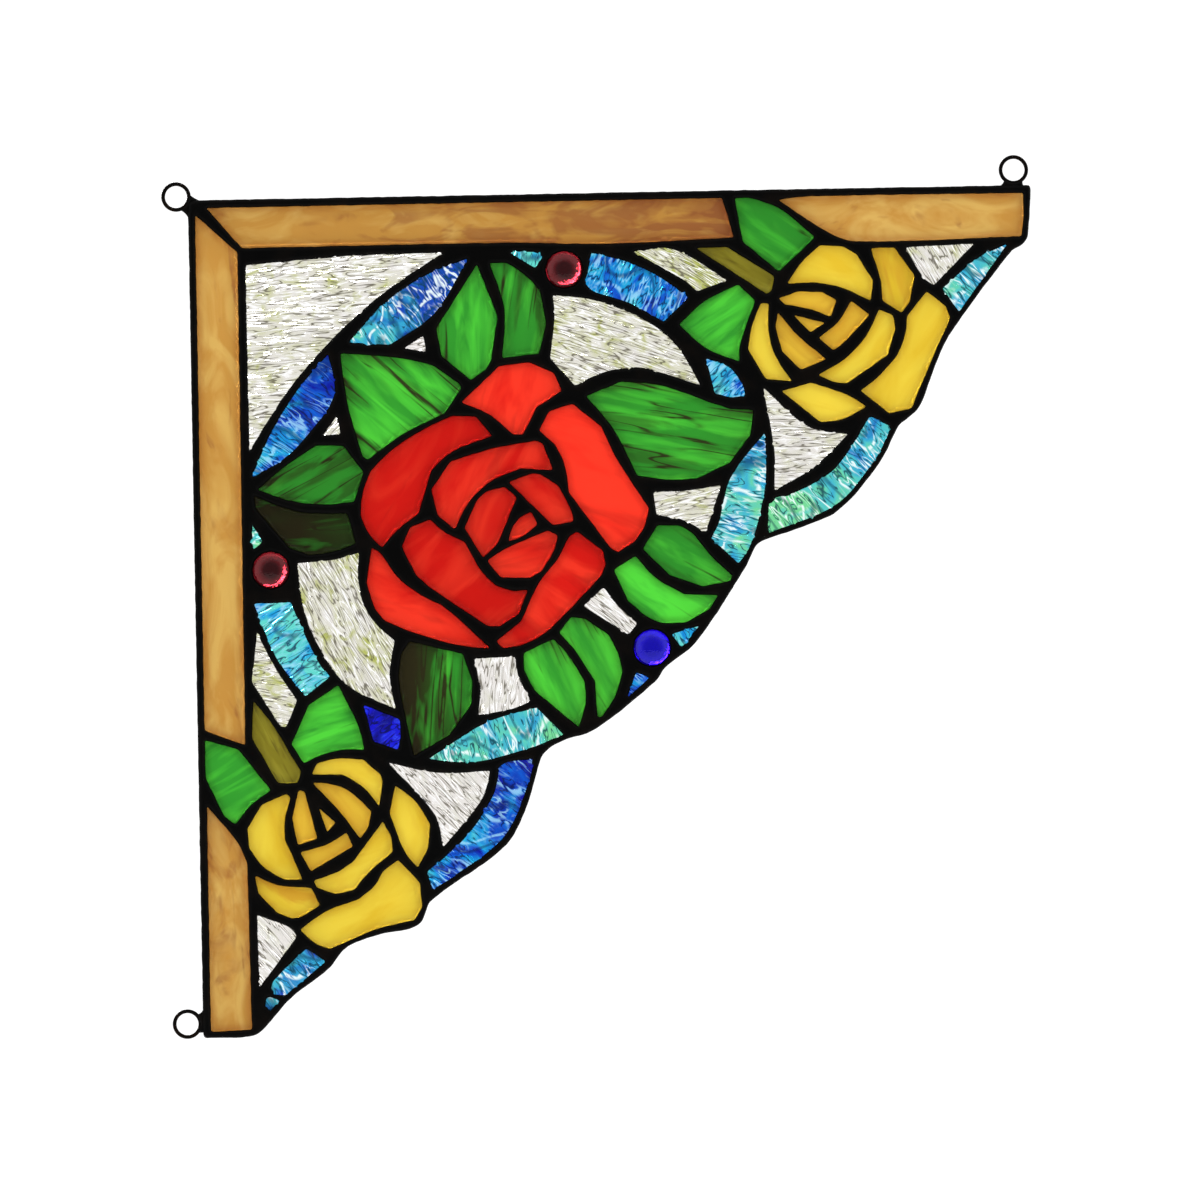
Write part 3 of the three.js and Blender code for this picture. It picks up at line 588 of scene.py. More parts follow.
def rippled(
    name, sheet, palette, pale, painted_shade_colour, crinkle_long, crinkle_wide, folds, patch_size, highlight_share, band_shade_share
):
    """See-through rolled glass: tints that drift in patches, with painted highlights on its crests and
    painted shade in its grooves.

    The broad bands are those of the pane's own relief, from the same flow along the grain, with painted
    highlights on their ridges and painted shade in their troughs, and the crinkles are finer than its mesh.
    The front face holds all the colour, so that no line shows twice.
    """
    material, tree = blank_material(name)
    place = add(tree, "ShaderNodeTexCoord").outputs["Object"]
    grain = add(tree, "ShaderNodeAttribute", attribute_name="grain").outputs["Fac"]
    tone = add(tree, "ShaderNodeAttribute", attribute_name="tone").outputs["Fac"]
    spin = {"Vector": place, "Angle": grain}
    turned = add(tree, "ShaderNodeVectorRotate", spin, rotation_type="Y_AXIS").outputs[0]
    broad = (1 / sheet["Groove Length"], 0, 1 / sheet["Groove Width"])
    drawn = add(tree, "ShaderNodeMapping", {"Vector": turned, "Scale": broad}).outputs[0]
    flow = add(tree, "ShaderNodeTexNoise", {"Vector": drawn, **FLOW}).outputs[0]
    turns = add(tree, "ShaderNodeMath", {0: flow, 1: FLOW_TURNS}, operation="MULTIPLY").outputs[0]
    band = add(tree, "ShaderNodeMath", {0: turns}, operation="SINE").outputs[0]
    fine = (1 / crinkle_long, 0, 1 / crinkle_wide)
    creased = add(tree, "ShaderNodeMapping", {"Vector": turned, "Scale": fine}).outputs[0]
    crease = add(tree, "ShaderNodeTexNoise", {"Vector": creased, **CRINKLE}).outputs[0]
    bends = add(tree, "ShaderNodeMath", {0: crease, 1: 2 * math.pi * folds}, operation="MULTIPLY").outputs[0]
    wave = add(tree, "ShaderNodeMath", {0: bends}, operation="SINE").outputs[0]
    spread = (PATCH_STRETCH / patch_size, 1 / patch_size, 1 / patch_size)
    patches = add(tree, "ShaderNodeMapping", {"Vector": turned, "Scale": spread}).outputs[0]
    cloud = add(tree, "ShaderNodeTexNoise", {"Vector": patches, **PATCH_CLOUD})
    drift = {0: tone, 1: TONE_WEIGHT, 2: cloud.outputs[0]}
    depth = add(tree, "ShaderNodeMath", drift, operation="MULTIPLY_ADD").outputs[0]
    share = add(tree, "ShaderNodeMapRange", {"Value": depth, **TINT_RANGE}).outputs[0]
    tint = add(tree, "ShaderNodeValToRGB", {"Fac": share})
    while len(tint.color_ramp.elements) < len(palette):
        tint.color_ramp.elements.new(1)
    for i, (stop, colour) in enumerate(zip(tint.color_ramp.elements, palette)):
        stop.position = i / (len(palette) - 1)
        stop.color = linear(colour)
    # Painted highlights: the crinkle's crests, in patches, and the band ridges, mixed towards the pale
    # colour.
    hint = add(tree, "ShaderNodeSeparateColor", {0: cloud.outputs["Color"]}).outputs["Blue"]
    some = add(tree, "ShaderNodeMapRange", {"Value": hint, **HIGHLIGHT_PATCH_RANGE}).outputs[0]
    crest = add(tree, "ShaderNodeMapRange", {"Value": wave, **CREST_HIGHLIGHT_RANGE}).outputs[0]
    crest_highlights = add(tree, "ShaderNodeMath", {0: crest, 1: some}, operation="MULTIPLY").outputs[0]
    ridge = add(tree, "ShaderNodeMapRange", {"Value": band, **RIDGE_HIGHLIGHT_RANGE}).outputs[0]
    broken = add(tree, "ShaderNodeMapRange", {"Value": wave, **BREAK_RANGE}).outputs[0]
    ridge_highlights = add(tree, "ShaderNodeMath", {0: ridge, 1: broken}, operation="MULTIPLY").outputs[0]
    lit = add(tree, "ShaderNodeMath", {0: crest_highlights, 1: ridge_highlights}, operation="MAXIMUM").outputs[0]
    bright = add(tree, "ShaderNodeMath", {0: lit, 1: highlight_share}, operation="MULTIPLY").outputs[0]
    lights = {0: bright, 6: tint.outputs[0], 7: linear(pale)}
    highlighted = add(tree, "ShaderNodeMix", lights, data_type="RGBA").outputs[2]
    # Painted shade: the crinkle's grooves and the band troughs, mixed towards the darker line colour.
    groove_shade = add(tree, "ShaderNodeMapRange", {"Value": wave, **GROOVE_SHADE_RANGE}).outputs[0]
    dip = {"Value": band, **TROUGH_SHADE_RANGE, "To Min": band_shade_share, "To Max": 0.0}
    trough_shade = add(tree, "ShaderNodeMapRange", dip).outputs[0]
    shadow = add(tree, "ShaderNodeMath", {0: groove_shade, 1: trough_shade}, operation="MAXIMUM").outputs[0]
    shades = {0: shadow, 6: highlighted, 7: linear(painted_shade_colour)}
    shade_painted = add(tree, "ShaderNodeMix", shades, data_type="RGBA").outputs[2]
    side = add(tree, "ShaderNodeSeparateXYZ", {0: place}).outputs["Y"]
    front = add(tree, "ShaderNodeMath", {0: side, 1: 0.0}, operation="LESS_THAN").outputs[0]
    both_faces = add(tree, "ShaderNodeMath", {0: front, 1: 2.0}, operation="MULTIPLY").outputs[0]
    held = add(tree, "ShaderNodeGamma", {"Color": shade_painted, "Gamma": both_faces}).outputs[0]
    bump = add(tree, "ShaderNodeBump", {"Height": wave, **CRINKLE_BUMP}).outputs[0]
    clear = {"Base Color": held, "Normal": bump, **RIPPLED_SURFACE}
    glass = add(tree, "ShaderNodeBsdfPrincipled", clear).outputs[0]
    add(tree, "ShaderNodeOutputMaterial", {"Surface": glass})
    return material


# Bright, colourless glass with a faint olive cast in places, thin wavering grey lines of painted shade and
# white painted highlights.
clear_glass = rippled("rippled_clear_glass", CLEAR_SHEET, **CLEAR)
for node, grain in CLEAR_GRAIN.items():
    tones = (CLEAR_TONE.get(node, 0),)
    lay_pane(node, clear_glass, CLEAR_SHEET, RIPPLED_STEP, grains=(grain,), tones=tones)

# Ribbons: strips of rippled blue glass that wind behind the flowers, foiled and soldered
# in. They are cut across the sheet, so that the grooves cross each strip, and the tint
# drifts from sea green to cobalt.
RIBBON_SHEET = {
    "Thickness": GLASS_THICK,
    "Groove Depth": 0.45 * MM,
    "Groove Length": 40 * MM,
    "Groove Width": 20 * MM,
    "Back Share": 0.3,
}
# In each ribbon glass the pale colour is that of the painted highlights, and the darker line colour that of
# the painted shade in the grooves and troughs.
TURQUOISE = {
    "palette": ("#74D898", "#54C8C4", "#34A8D2", "#1048B4"),
    "pale": "#F0FFFF",
    "painted_shade_colour": "#083C50",
    "crinkle_long": 12 * MM,
    "crinkle_wide": 3 * MM,
    "folds": 4.5,
    "patch_size": 10 * MM,
    "highlight_share": 0.9,
    "band_shade_share": 0.6,
}
AZURE = {
    "palette": ("#62D8CC", "#1AA4DC", "#0A56CC", "#06149C"),
    "pale": "#A8E4FF",
    "painted_shade_colour": "#051450",
    "crinkle_long": 11 * MM,
    "crinkle_wide": 2.8 * MM,
    "folds": 4.5,
    "patch_size": 10 * MM,
    "highlight_share": 0.65,
    "band_shade_share": 0.6,
}
COBALT = {
    "palette": ("#1C2CE8", "#1414CC", "#0A0A94"),
    "pale": "#3C58FF",
    "painted_shade_colour": "#040440",
    "crinkle_long": 8 * MM,
    "crinkle_wide": 3 * MM,
    "folds": 3.5,
    "patch_size": 8 * MM,
    "highlight_share": 0.6,
    "band_shade_share": 0.6,
}
RIBBON_TONE = {
    "turquoise_upper_left": (0.55, 1.2),
    "turquoise_right_end": (0, 0.3),
    "turquoise_right_strip": (-0.1, 0.2),
    "turquoise_right_edge": (-0.3, 1.0),
    "turquoise_left_sliver": (-0.4, 0),
    "turquoise_bottom": (-0.25, 0.3),
    "turquoise_foot": (0.3, 0.2),
    "azure_left_upper": (0.15, 0.5),
    "azure_top_sliver": (-0.6, 0),
    "azure_top_right": (-0.05, 0.4),
    "azure_rose_gap": (-0.2, 0),
    "azure_left_strip": (-0.5, 0.1),
    "azure_bottom_edge": (0.15, 0.7),
    "azure_above_gem": (-0.45, 0),
    "azure_below_gem": (0.15, 0),
}
# Water-like glass: sea green to blue with white flashes of painted highlight, deeper blue, and a dark even
# cobalt, each with painted shade in its grooves and troughs.
RIBBON_GLASS = {
    "turquoise_glass": rippled("rippled_turquoise_glass", RIBBON_SHEET, **TURQUOISE),
    "azure_glass": rippled("rippled_azure_glass", RIBBON_SHEET, **AZURE),
    "cobalt_glass": rippled("rippled_cobalt_glass", RIBBON_SHEET, **COBALT),
}
for node, slot in slot_of.items():
    if slot in RIBBON_GLASS:
        across = [math.degrees(grain_of(window)) + 90 for window in windows_of[node]]
        tone, drift = RIBBON_TONE.get(node, (0, 0))
        glass = RIBBON_GLASS[slot]
        lay_pane(node, glass, RIBBON_SHEET, RIPPLED_STEP, grains=across, tones=(tone,), drifts=(drift,))

# Leaves and stems: streaky green glass with smoky brown drawn into it, and olive for the
# stems, foiled and soldered in. Each leaf is cut along the streaks, and its halves from
# lighter and darker places of the sheet.
# Each edge colour in these glasses is painted shade, laid on the pane near its seams.
GREEN = {"body": "#289024", "pale": "#4AD034", "dark": "#221E0C", "edge": "#C8C8A8"}
GREEN_STREAKS = {
    "streak_long": 36 * MM,
    "streak_wide": 6 * MM,
    "thread_wide": 4.5 * MM,
    "thread_soft": 0.05,
    "thread_share": 1,
    "swirl": 0.6,
}
OLIVE = {"body": "#7A7018", "pale": "#928A24", "dark": "#443810", "edge": "#D8D0B0"}
OLIVE_STREAKS = {
    "streak_long": 26 * MM,
    "streak_wide": 5 * MM,
    "thread_wide": 3 * MM,
    "thread_soft": 0.06,
    "thread_share": 0.7,
    "swirl": 0.6,
}
STEM_DARK = (0.2,)
PLAIN_LEAF_DARK = (0.1,)
LEAF_GRAIN = {
    "green_leaf_upper_left": (-42,),
    "green_leaf_right": (-10,),
    "green_leaf_lower_left": (86,),
    "green_leaf_top": (80, 92),
    "green_leaf_left": (28, 4),
    "green_leaf_lower_right": (-30, -34),
    "green_leaf_bottom": (-62, -66),
    "green_right_border_leaf": (-34,),
    "green_right_inner_leaf": (35,),
    "green_left_border_leaf": (28,),
    "green_left_inner_leaf": (15,),
}
LEAF_DARK = {
    "green_leaf_upper_left": (0.34,),
    "green_leaf_right": (0.36,),
    "green_leaf_lower_left": (0.5,),
    "green_leaf_top": (0.38, 0.2),
    "green_leaf_left": (0.44, 0.62),
    "green_leaf_lower_right": (0.28, 0.18),
    "green_leaf_bottom": (0.26, 0.26),
    "green_right_border_leaf": (0.24,),
}
LEAF_TONE = {
    "green_leaf_left": (-0.18, -0.4),
    "green_leaf_right": (-0.08,),
    "green_leaf_lower_left": (-0.1,),
    "green_leaf_top": (-0.1, -0.06),
    "green_leaf_lower_right": (-0.12, 0.06),
    "green_leaf_upper_left": (-0.06,),
    "green_right_border_leaf": (-0.15,),
    "green_right_inner_leaf": (-0.04,),
}
LEAF_FADE = {"green_leaf_lower_left": 0.5, "green_leaf_left": 0.1}
# Fresh green that runs from light to deep, with dark brown threads along the leaf.
green_glass = opalescent("streaky_green_opalescent_glass", **GREEN, **GREEN_STREAKS)
# A dull yellow-green, with painted shade along its edges by the seams.
olive_glass = opalescent("streaky_olive_opalescent_glass", **OLIVE, **OLIVE_STREAKS)
for node, slot in slot_of.items():
    if slot == "green_glass":
        darks = LEAF_DARK.get(node, PLAIN_LEAF_DARK)
        tones = LEAF_TONE.get(node, (0,))
        fades = (LEAF_FADE.get(node, 0),)
        lay_pane(node, green_glass, MILKY_SHEET, MILKY_STEP, LEAF_GRAIN[node], darks, tones, fades=fades)
    if slot == "olive_glass":
        lay_pane(node, olive_glass, MILKY_SHEET, MILKY_STEP, darks=STEM_DARK)

# Red rose: petals of streaky red glass, orange where it runs thin, foiled and soldered
# in. They are cut from different places: the top, right and lowest petals are the
# lightest, and the left ones and the heart the deepest.
# The edge colour is painted shade, laid on the petals near their seams.
RED = {"body": "#CA0F09", "pale": "#E62C19", "dark": "#8C0A08", "edge": "#D8A0A0"}
RED_STREAKS = {
    "streak_long": 40 * MM,
    "streak_wide": 11 * MM,
    "thread_wide": 8 * MM,
    "thread_soft": 0.12,
    "thread_share": 0.4,
    "swirl": 0.8,
}
OUTER_GRAIN = (78, 60, -20, 40, -35, -15)
OUTER_TONE = (0.12, -0.09, 0.2, -0.1, 0.04, 0.07)
OUTER_DARK = (0.2,)
HEART_GRAIN = (60, -40, 75, 30, 10)
HEART_TONE = (0, -0.02, -0.06, 0.08, 0.08)
HEART_DARK = (0.24,)
# A strong warm red that glows, with soft lighter and darker streaks.
red_glass = opalescent("streaky_red_opalescent_glass", **RED, **RED_STREAKS)
lay_pane("red_outer_petals", red_glass, MILKY_SHEET, MILKY_STEP, OUTER_GRAIN, OUTER_DARK, OUTER_TONE)
lay_pane("red_heart", red_glass, MILKY_SHEET, MILKY_STEP, HEART_GRAIN, HEART_DARK, HEART_TONE)

# Yellow roses: petals of smooth lemon glass around hearts of honey glass, foiled and
# soldered in, with a warmer cloud in places, most of all in the petals beside the hearts.
# The edge colours are painted shade, laid on the petals near their seams.
LEMON = {"body": "#DCB626", "pale": "#E6CA38", "dark": "#CA8C20", "edge": "#F0DCC0"}
HONEY = {"body": "#D49E26", "pale": "#E0B630", "dark": "#B4781C", "edge": "#F0D8B8"}
SMOOTH_CLOUDS = {
    "streak_long": 40 * MM,
    "streak_wide": 14 * MM,
    "thread_wide": 14 * MM,
    "thread_soft": 0.14,
    "thread_share": 0.3,
    "swirl": 1,
}
LEMON_DARK = {"right": (0.1, 0.42, 0.1, 0.2, 0.1, 0.05), "left": (0.14, 0.12, 0.22, 0.22, 0.46, 0.14)}
LEMON_TONE = {"right": (0.04, -0.04, 0.08, 0.06, 0.02, 0.08), "left": (0.12, 0.06, -0.02, 0.08, 0, 0)}
HONEY_DARK = (0.2,)
HONEY_TONE = {"right": (0.16, 0.3, 0.06, 0.06), "left": (0.04, 0.14, 0.4, 0.06)}
# A clear, even yellow.
lemon_glass = opalescent("lemon_opalescent_glass", **LEMON, **SMOOTH_CLOUDS)
# A deeper, more orange yellow.
honey_glass = opalescent("honey_opalescent_glass", **HONEY, **SMOOTH_CLOUDS)
for side, darks in LEMON_DARK.items():
    petals, heart = f"lemon_{side}_outer_petals", f"honey_{side}_heart"
    lay_pane(petals, lemon_glass, MILKY_SHEET, MILKY_STEP, darks=darks, tones=LEMON_TONE[side])
    lay_pane(heart, honey_glass, MILKY_SHEET, MILKY_STEP, darks=HONEY_DARK, tones=HONEY_TONE[side])

# Gems: round nuggets of pressed glass, polished by fire, flat at the back and domed in
# front, and held at the girdle by the seam around them.
GEM_SEGMENTS = 72
DOME_RINGS = 16
EDGE_RINGS = 4
GIRDLE_THICK = 2 * MM
EDGE_ROUND = 0.5 * MM
CORE_REACH = 0.35
DENT_SIZE = 1.8 * MM
DENT_DETAIL = 2.0
DENT_BUMP = {"Strength": 0.6, "Distance": 0.35 * MM}
GEM_SURFACE = {"Roughness": 0.01, "IOR": 1.52, "Transmission Weight": 1.0}


def window_around(middle):
    """The gem window whose middle is nearest to a point."""
    aim = np.array(middle.xz)
    return min(windows_of[GEM_WINDOWS], key=lambda window: np.linalg.norm(window.mean(axis=0) - aim))


def gem_mesh(name, low, high):
    """A dome on a round girdle with a flat back, closed at both poles, with each point's reach kept."""
    middle = (low + high) / 2
    radius = np.linalg.norm(window_around(middle) - np.array(middle.xz), axis=1).mean() + TUCK
    shoulder = high.y - GIRDLE_THICK
    climb = np.linspace(0, math.pi / 2, DOME_RINGS + 1)[1:]
    profile = [(radius * math.sin(a), shoulder - (shoulder - low.y) * math.cos(a)) for a in climb]
    for a in np.linspace(0, math.pi / 2, EDGE_RINGS):
        profile.append((radius - EDGE_ROUND * (1 - math.cos(a)), high.y - EDGE_ROUND * (1 - math.sin(a))))
    profile.append((radius - 2 * EDGE_ROUND, high.y))
    body = bmesh.new()
    reach = body.verts.layers.float.new("reach")
    angles = np.arange(GEM_SEGMENTS) * 2 * math.pi / GEM_SEGMENTS
    rings = []
    for away, y in profile:
        spots = [(middle.x + away * math.cos(a), y, middle.z + away * math.sin(a)) for a in angles]
        rings.append([body.verts.new(spot) for spot in spots])
        for vertex in rings[-1]:
            vertex[reach] = away / radius
    poles = [body.verts.new((middle.x, y, middle.z)) for y in (low.y, high.y)]
    for i in range(GEM_SEGMENTS):
        j = (i + 1) % GEM_SEGMENTS
        body.faces.new((poles[0], rings[0][i], rings[0][j]))
        body.faces.new((poles[1], rings[-1][j], rings[-1][i]))
        for near, far in zip(rings, rings[1:]):
            body.faces.new((near[i], far[i], far[j], near[j]))
    bmesh.ops.recalc_face_normals(body, faces=body.faces)
    mesh = bpy.data.meshes.new(name)
    body.to_mesh(mesh)
    body.free()
    mesh.shade_smooth()
    return mesh


def pressed_glass(name, rim_tint, core_tint):
    """Deep clear glass of one colour, glossy from the fire, darker towards the thick middle."""
    material, tree = blank_material(name)
    reach = add(tree, "ShaderNodeAttribute", attribute_name="reach").outputs["Fac"]
    thin = add(tree, "ShaderNodeMapRange", {"Value": reach, "From Min": CORE_REACH}).outputs[0]
    tints = {0: thin, 6: linear(core_tint), 7: linear(rim_tint)}
    mixed = add(tree, "ShaderNodeMix", tints, data_type="RGBA").outputs[2]
    place = add(tree, "ShaderNodeTexCoord").outputs["Object"]
    pits = {"Vector": place, "Scale": 1 / DENT_SIZE, "Detail": DENT_DETAIL}
    dents = add(tree, "ShaderNodeTexNoise", pits).outputs[0]
    bump = add(tree, "ShaderNodeBump", {"Height": dents, **DENT_BUMP}).outputs[0]
    deep = {"Base Color": mixed, "Normal": bump, **GEM_SURFACE}
    glass = add(tree, "ShaderNodeBsdfPrincipled", deep).outputs[0]
    add(tree, "ShaderNodeOutputMaterial", {"Surface": glass})
    return material


# Dark wine red and vivid cobalt, each with a bright crescent inside the rim where light gathers.
GEM_GLASS = {
    "crimson_gem": pressed_glass("pressed_crimson_glass", "#8C1A24", "#2C0509"),
    "cobalt_gem": pressed_glass("pressed_cobalt_glass", "#2008E0", "#0C02A4"),
}
for node, slot in slot_of.items():
    if slot in GEM_GLASS:
        gem = bpy.data.objects.new(node + "_nugget", gem_mesh(node, *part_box(node)))
        bpy.context.scene.collection.objects.link(gem)
        gem.data.materials.append(GEM_GLASS[slot])
        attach(gem, "root")
        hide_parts(node)

# Solder seams: tin-lead solder run along the foil on both faces as one joined, rounded
# bead, then blackened with patina. A rule raises the bead from its distance to the glass.
SEAM_STEP = 0.75 * MM
SOLDER_BEAD = {
    "Edge Thickness": 3.1 * MM,
    "Crest Rise": 0.95 * MM,
    "Crest Run": 1.9 * MM,
    "Lump Height": 0.35 * MM,
    "Lump Length": 6 * MM,
}
LUMP_DETAIL = 2.0
PATINA_DETAIL = 4.0
PATINA_THIN = {"From Min": 0.5, "From Max": 0.75}
PATINA_ROUGH = {"To Min": 0.3, "To Max": 0.6}
PATINA_SHEEN = 0.12
GRIT_DETAIL = 2.0
GRIT_BUMP = {"Strength": 0.2, "Distance": 0.1 * MM}


def bead_tree():
    """A seam's rule: both faces rise from the edge as a quarter round, with slight lumps."""
    tree, given = rule_tree("solder_bead", SOLDER_BEAD)
    sheet, distance = seam_distance(tree, given["Geometry"])
    run = {0: distance, 1: given["Crest Run"]}
    share = add(tree, "ShaderNodeMath", run, operation="DIVIDE", use_clamp=True).outputs[0]
    rest = add(tree, "ShaderNodeMath", {0: 2.0, 1: share}, operation="SUBTRACT").outputs[0]
    square = add(tree, "ShaderNodeMath", {0: share, 1: rest}, operation="MULTIPLY").outputs[0]
    arch = add(tree, "ShaderNodeMath", {0: square}, operation="SQRT").outputs[0]
    size = add(tree, "ShaderNodeMath", {0: 1.0, 1: given["Lump Length"]}, operation="DIVIDE").outputs[0]
    place = add(tree, "GeometryNodeInputPosition").outputs[0]
    lumps = {"Vector": place, "Scale": size, "Detail": LUMP_DETAIL}
    lump = add(tree, "ShaderNodeTexNoise", lumps).outputs[0]
    uneven = add(tree, "ShaderNodeMath", {0: lump, 1: 0.5}, operation="SUBTRACT").outputs[0]
    swell = {0: uneven, 1: given["Lump Height"]}
    extra = add(tree, "ShaderNodeMath", swell, operation="MULTIPLY").outputs[0]
    crest = add(tree, "ShaderNodeMath", {0: extra, 1: given["Crest Rise"]}, operation="ADD").outputs[0]
    rise = add(tree, "ShaderNodeMath", {0: arch, 1: crest}, operation="MULTIPLY").outputs[0]
    named = {"Geometry": sheet, "Name": "rise", "Value": rise}
    marked = add(tree, "GeometryNodeStoreNamedAttribute", named).outputs[0]
    body = slab(tree, marked, given["Edge Thickness"])
    depth = add(tree, "ShaderNodeSeparateXYZ", {0: place}).outputs["Y"]
    side = add(tree, "ShaderNodeMath", {0: depth}, operation="SIGN").outputs[0]
    wanted = add(tree, "GeometryNodeInputNamedAttribute", {"Name": "rise"}).outputs[0]
    lifted = add(tree, "ShaderNodeMath", {0: side, 1: wanted}, operation="MULTIPLY").outputs[0]
    outward = add(tree, "ShaderNodeCombineXYZ", {"Y": lifted}).outputs[0]
    raised = add(tree, "GeometryNodeSetPosition", {"Geometry": body, "Offset": outward}).outputs[0]
    close_tree(tree, raised, given["Material"])
    return tree


def patinated(name, black, brown, bloom_size, grit_size, metallic):
    """Metal under a chemical black: nearly matt, brown where the patina is thin, with a fine grit.

    The grit is drawn coarser than it is, so that it shows.
    """
    material, tree = blank_material(name)
    place = add(tree, "ShaderNodeTexCoord").outputs["Object"]
    stains = {"Vector": place, "Scale": 1 / bloom_size, "Detail": PATINA_DETAIL}
    bloom = add(tree, "ShaderNodeTexNoise", stains).outputs[0]
    thin = add(tree, "ShaderNodeMapRange", {"Value": bloom, **PATINA_THIN}).outputs[0]
    tints = {0: thin, 6: linear(black), 7: linear(brown)}
    tint = add(tree, "ShaderNodeMix", tints, data_type="RGBA").outputs[2]
    rough = add(tree, "ShaderNodeMapRange", {"Value": bloom, **PATINA_ROUGH}).outputs[0]
    grains = {"Vector": place, "Scale": 1 / grit_size, "Detail": GRIT_DETAIL}
    grit = add(tree, "ShaderNodeTexNoise", grains).outputs[0]
    bump = add(tree, "ShaderNodeBump", {"Height": grit, **GRIT_BUMP}).outputs[0]
    surface = {
        "Base Color": tint,
        "Roughness": rough,
        "Metallic": metallic,
        "Specular IOR Level": PATINA_SHEEN,
        "Normal": bump,
    }
    metal = add(tree, "ShaderNodeBsdfPrincipled", surface).outputs[0]
    add(tree, "ShaderNodeOutputMaterial", {"Surface": metal})
    return material


# Soft black lines between the panes, with hardly a shine.
black_solder = patinated("black_patinated_solder", "#080808", "#16100C", 12 * MM, 0.9 * MM, 0.2)
solder_bead = bead_tree()
plate = flat_sheet("seams", rim, windows, SEAM_STEP)
seams = shaped("solder_seams", plate, solder_bead, SOLDER_BEAD, black_solder)
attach(seams, "root")
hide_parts("solder_lattice")

# Hanging rings: tinned copper wire bent round a rod, one at the square corner and one
# at each end, each bedded in a web of solder that runs from the wire into the rim's seam.
WIRE_RADIUS = 0.78 * MM
WIRE_SEGMENTS = 16
RING_RADIUS = 5.15 * MM
RING_SEGMENTS = 72
WEB_STEP = 0.5 * MM
WEB_REACH = 9 * MM
WEB_HOLLOW = 3.6 * MM
WEB_BED = 1.2 * MM
WEB_HOLD = math.radians(48)
CURVE_STEPS = 12
SOLDER_WEB = {
    "Edge Thickness": 1.4 * MM,
    "Crest Rise": 0.9 * MM,
    "Crest Run": 1.5 * MM,
    "Lump Height": 0.3 * MM,
    "Lump Length": 3 * MM,
}


def ring_tree():
    """A round wire along a circle that stands in the panel's plane."""
    tree, given = rule_tree("wire_ring", ["Ring Radius", "Wire Radius"])
    bend = {"Resolution": RING_SEGMENTS, "Radius": given["Ring Radius"]}
    loop = add(tree, "GeometryNodeCurvePrimitiveCircle", bend).outputs[0]
    girth = {"Resolution": WIRE_SEGMENTS, "Radius": given["Wire Radius"]}
    section = add(tree, "GeometryNodeCurvePrimitiveCircle", girth).outputs[0]
    wire = add(tree, "GeometryNodeCurveToMesh", {"Curve": loop, "Profile Curve": section}).outputs[0]
    upright = {"Geometry": wire, "Rotation": (math.pi / 2, 0, 0)}
    stood = add(tree, "GeometryNodeTransform", upright).outputs[0]
    close_tree(tree, stood, given["Material"])
    return tree


def web_outline(middle):
    """A web's outline: from both sides of the ring down to the rim in hollow curves, bedded in the rim."""
    near = int(np.argmin(np.linalg.norm(rim - middle, axis=1)))
    bedded = pushed(rim, np.full(len(rim), -WEB_BED))
    bearing = math.atan2(*(rim[near] - middle)[::-1])
    sides = []
    for side in (1, -1):
        foot = bedded[(near + side * round(WEB_REACH / EDGE_STEP)) % len(rim)]
        hollow = rim[(near + side * round(WEB_HOLLOW / EDGE_STEP)) % len(rim)]
        angle = bearing - side * WEB_HOLD
        grip = middle + RING_RADIUS * np.array([math.cos(angle), math.sin(angle)])
        t = np.linspace(0, 1, CURVE_STEPS)[:, None]
        sides.append((1 - t) ** 2 * grip + 2 * t * (1 - t) * hollow + t**2 * foot)
    arc = np.linspace(bearing + WEB_HOLD, bearing - WEB_HOLD, CURVE_STEPS)[1:-1]
    along_ring = middle + RING_RADIUS * np.column_stack([np.cos(arc), np.sin(arc)])
    return np.concatenate([sides[0], bedded[near : near + 1], sides[1][::-1], along_ring])


# Dark wire with a trace of brown metal and a little more shine than the seams.
tinned_wire = patinated("dark_tinned_copper_wire", "#14110F", "#33200F", 8 * MM, 0.8 * MM, 0.5)
wire_ring = ring_tree()
for opening in frame["record"]["physics"]["openings"]:
    low, high = opening["box_m"]
    middle = (Vector(low) + Vector(high)) / 2
    node = "ring_" + opening["name"].split("_")[0]
    sizes = {"Ring Radius": RING_RADIUS, "Wire Radius": WIRE_RADIUS}
    ring = shaped(node + "_wire", bpy.data.meshes.new(node), wire_ring, sizes, tinned_wire)
    for vertex in ring.data.vertices:
        vertex.co += middle
    web_sheet = flat_sheet(node, web_outline(np.array(middle.xz)), [], WEB_STEP)
    web = shaped(node + "_web", web_sheet, solder_bead, SOLDER_WEB, black_solder)
    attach(ring, "root")
    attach(web, "root")
    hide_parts(node)

# Studio: a pale floor below the hanging panel, and a bright soft field behind it as behind
# a window, with a dimmer room around. Three soft lamps in an arc behind the panel and one
# to its right make the milky glass glow, and light the gems' rims.
FLOOR_RADIUS = 2.2
FLOOR_LEVEL = -0.62
FLOOR_SEGMENTS = 96
FLOOR_ROUGH = 0.8
SKY_LIGHT = {180: 0.15, 150: 0.2, 128: 0.62, 100: 0.6, 80: 0.38, 32: 0.28, 8: 1.12}
LAMP_AIM = (0.12, 0, -0.12)
LAMPS = {
    "lamp_above": ((-0.01, 1.9, 0.61), (0.8, 0.2), -10, 12.3),
    "lamp_between": ((-0.4, 1.9, 0.4), (0.8, 0.2), -45, 12.3),
    "lamp_beside": ((-0.61, 1.9, 0.01), (0.8, 0.2), -80, 11.4),
    "lamp_right": ((1.7, 1.2, 0.45), (1.5, 1.5), 0, 13.2),
}
floor_shape = bmesh.new()
bmesh.ops.create_circle(floor_shape, cap_ends=True, segments=FLOOR_SEGMENTS, radius=FLOOR_RADIUS)
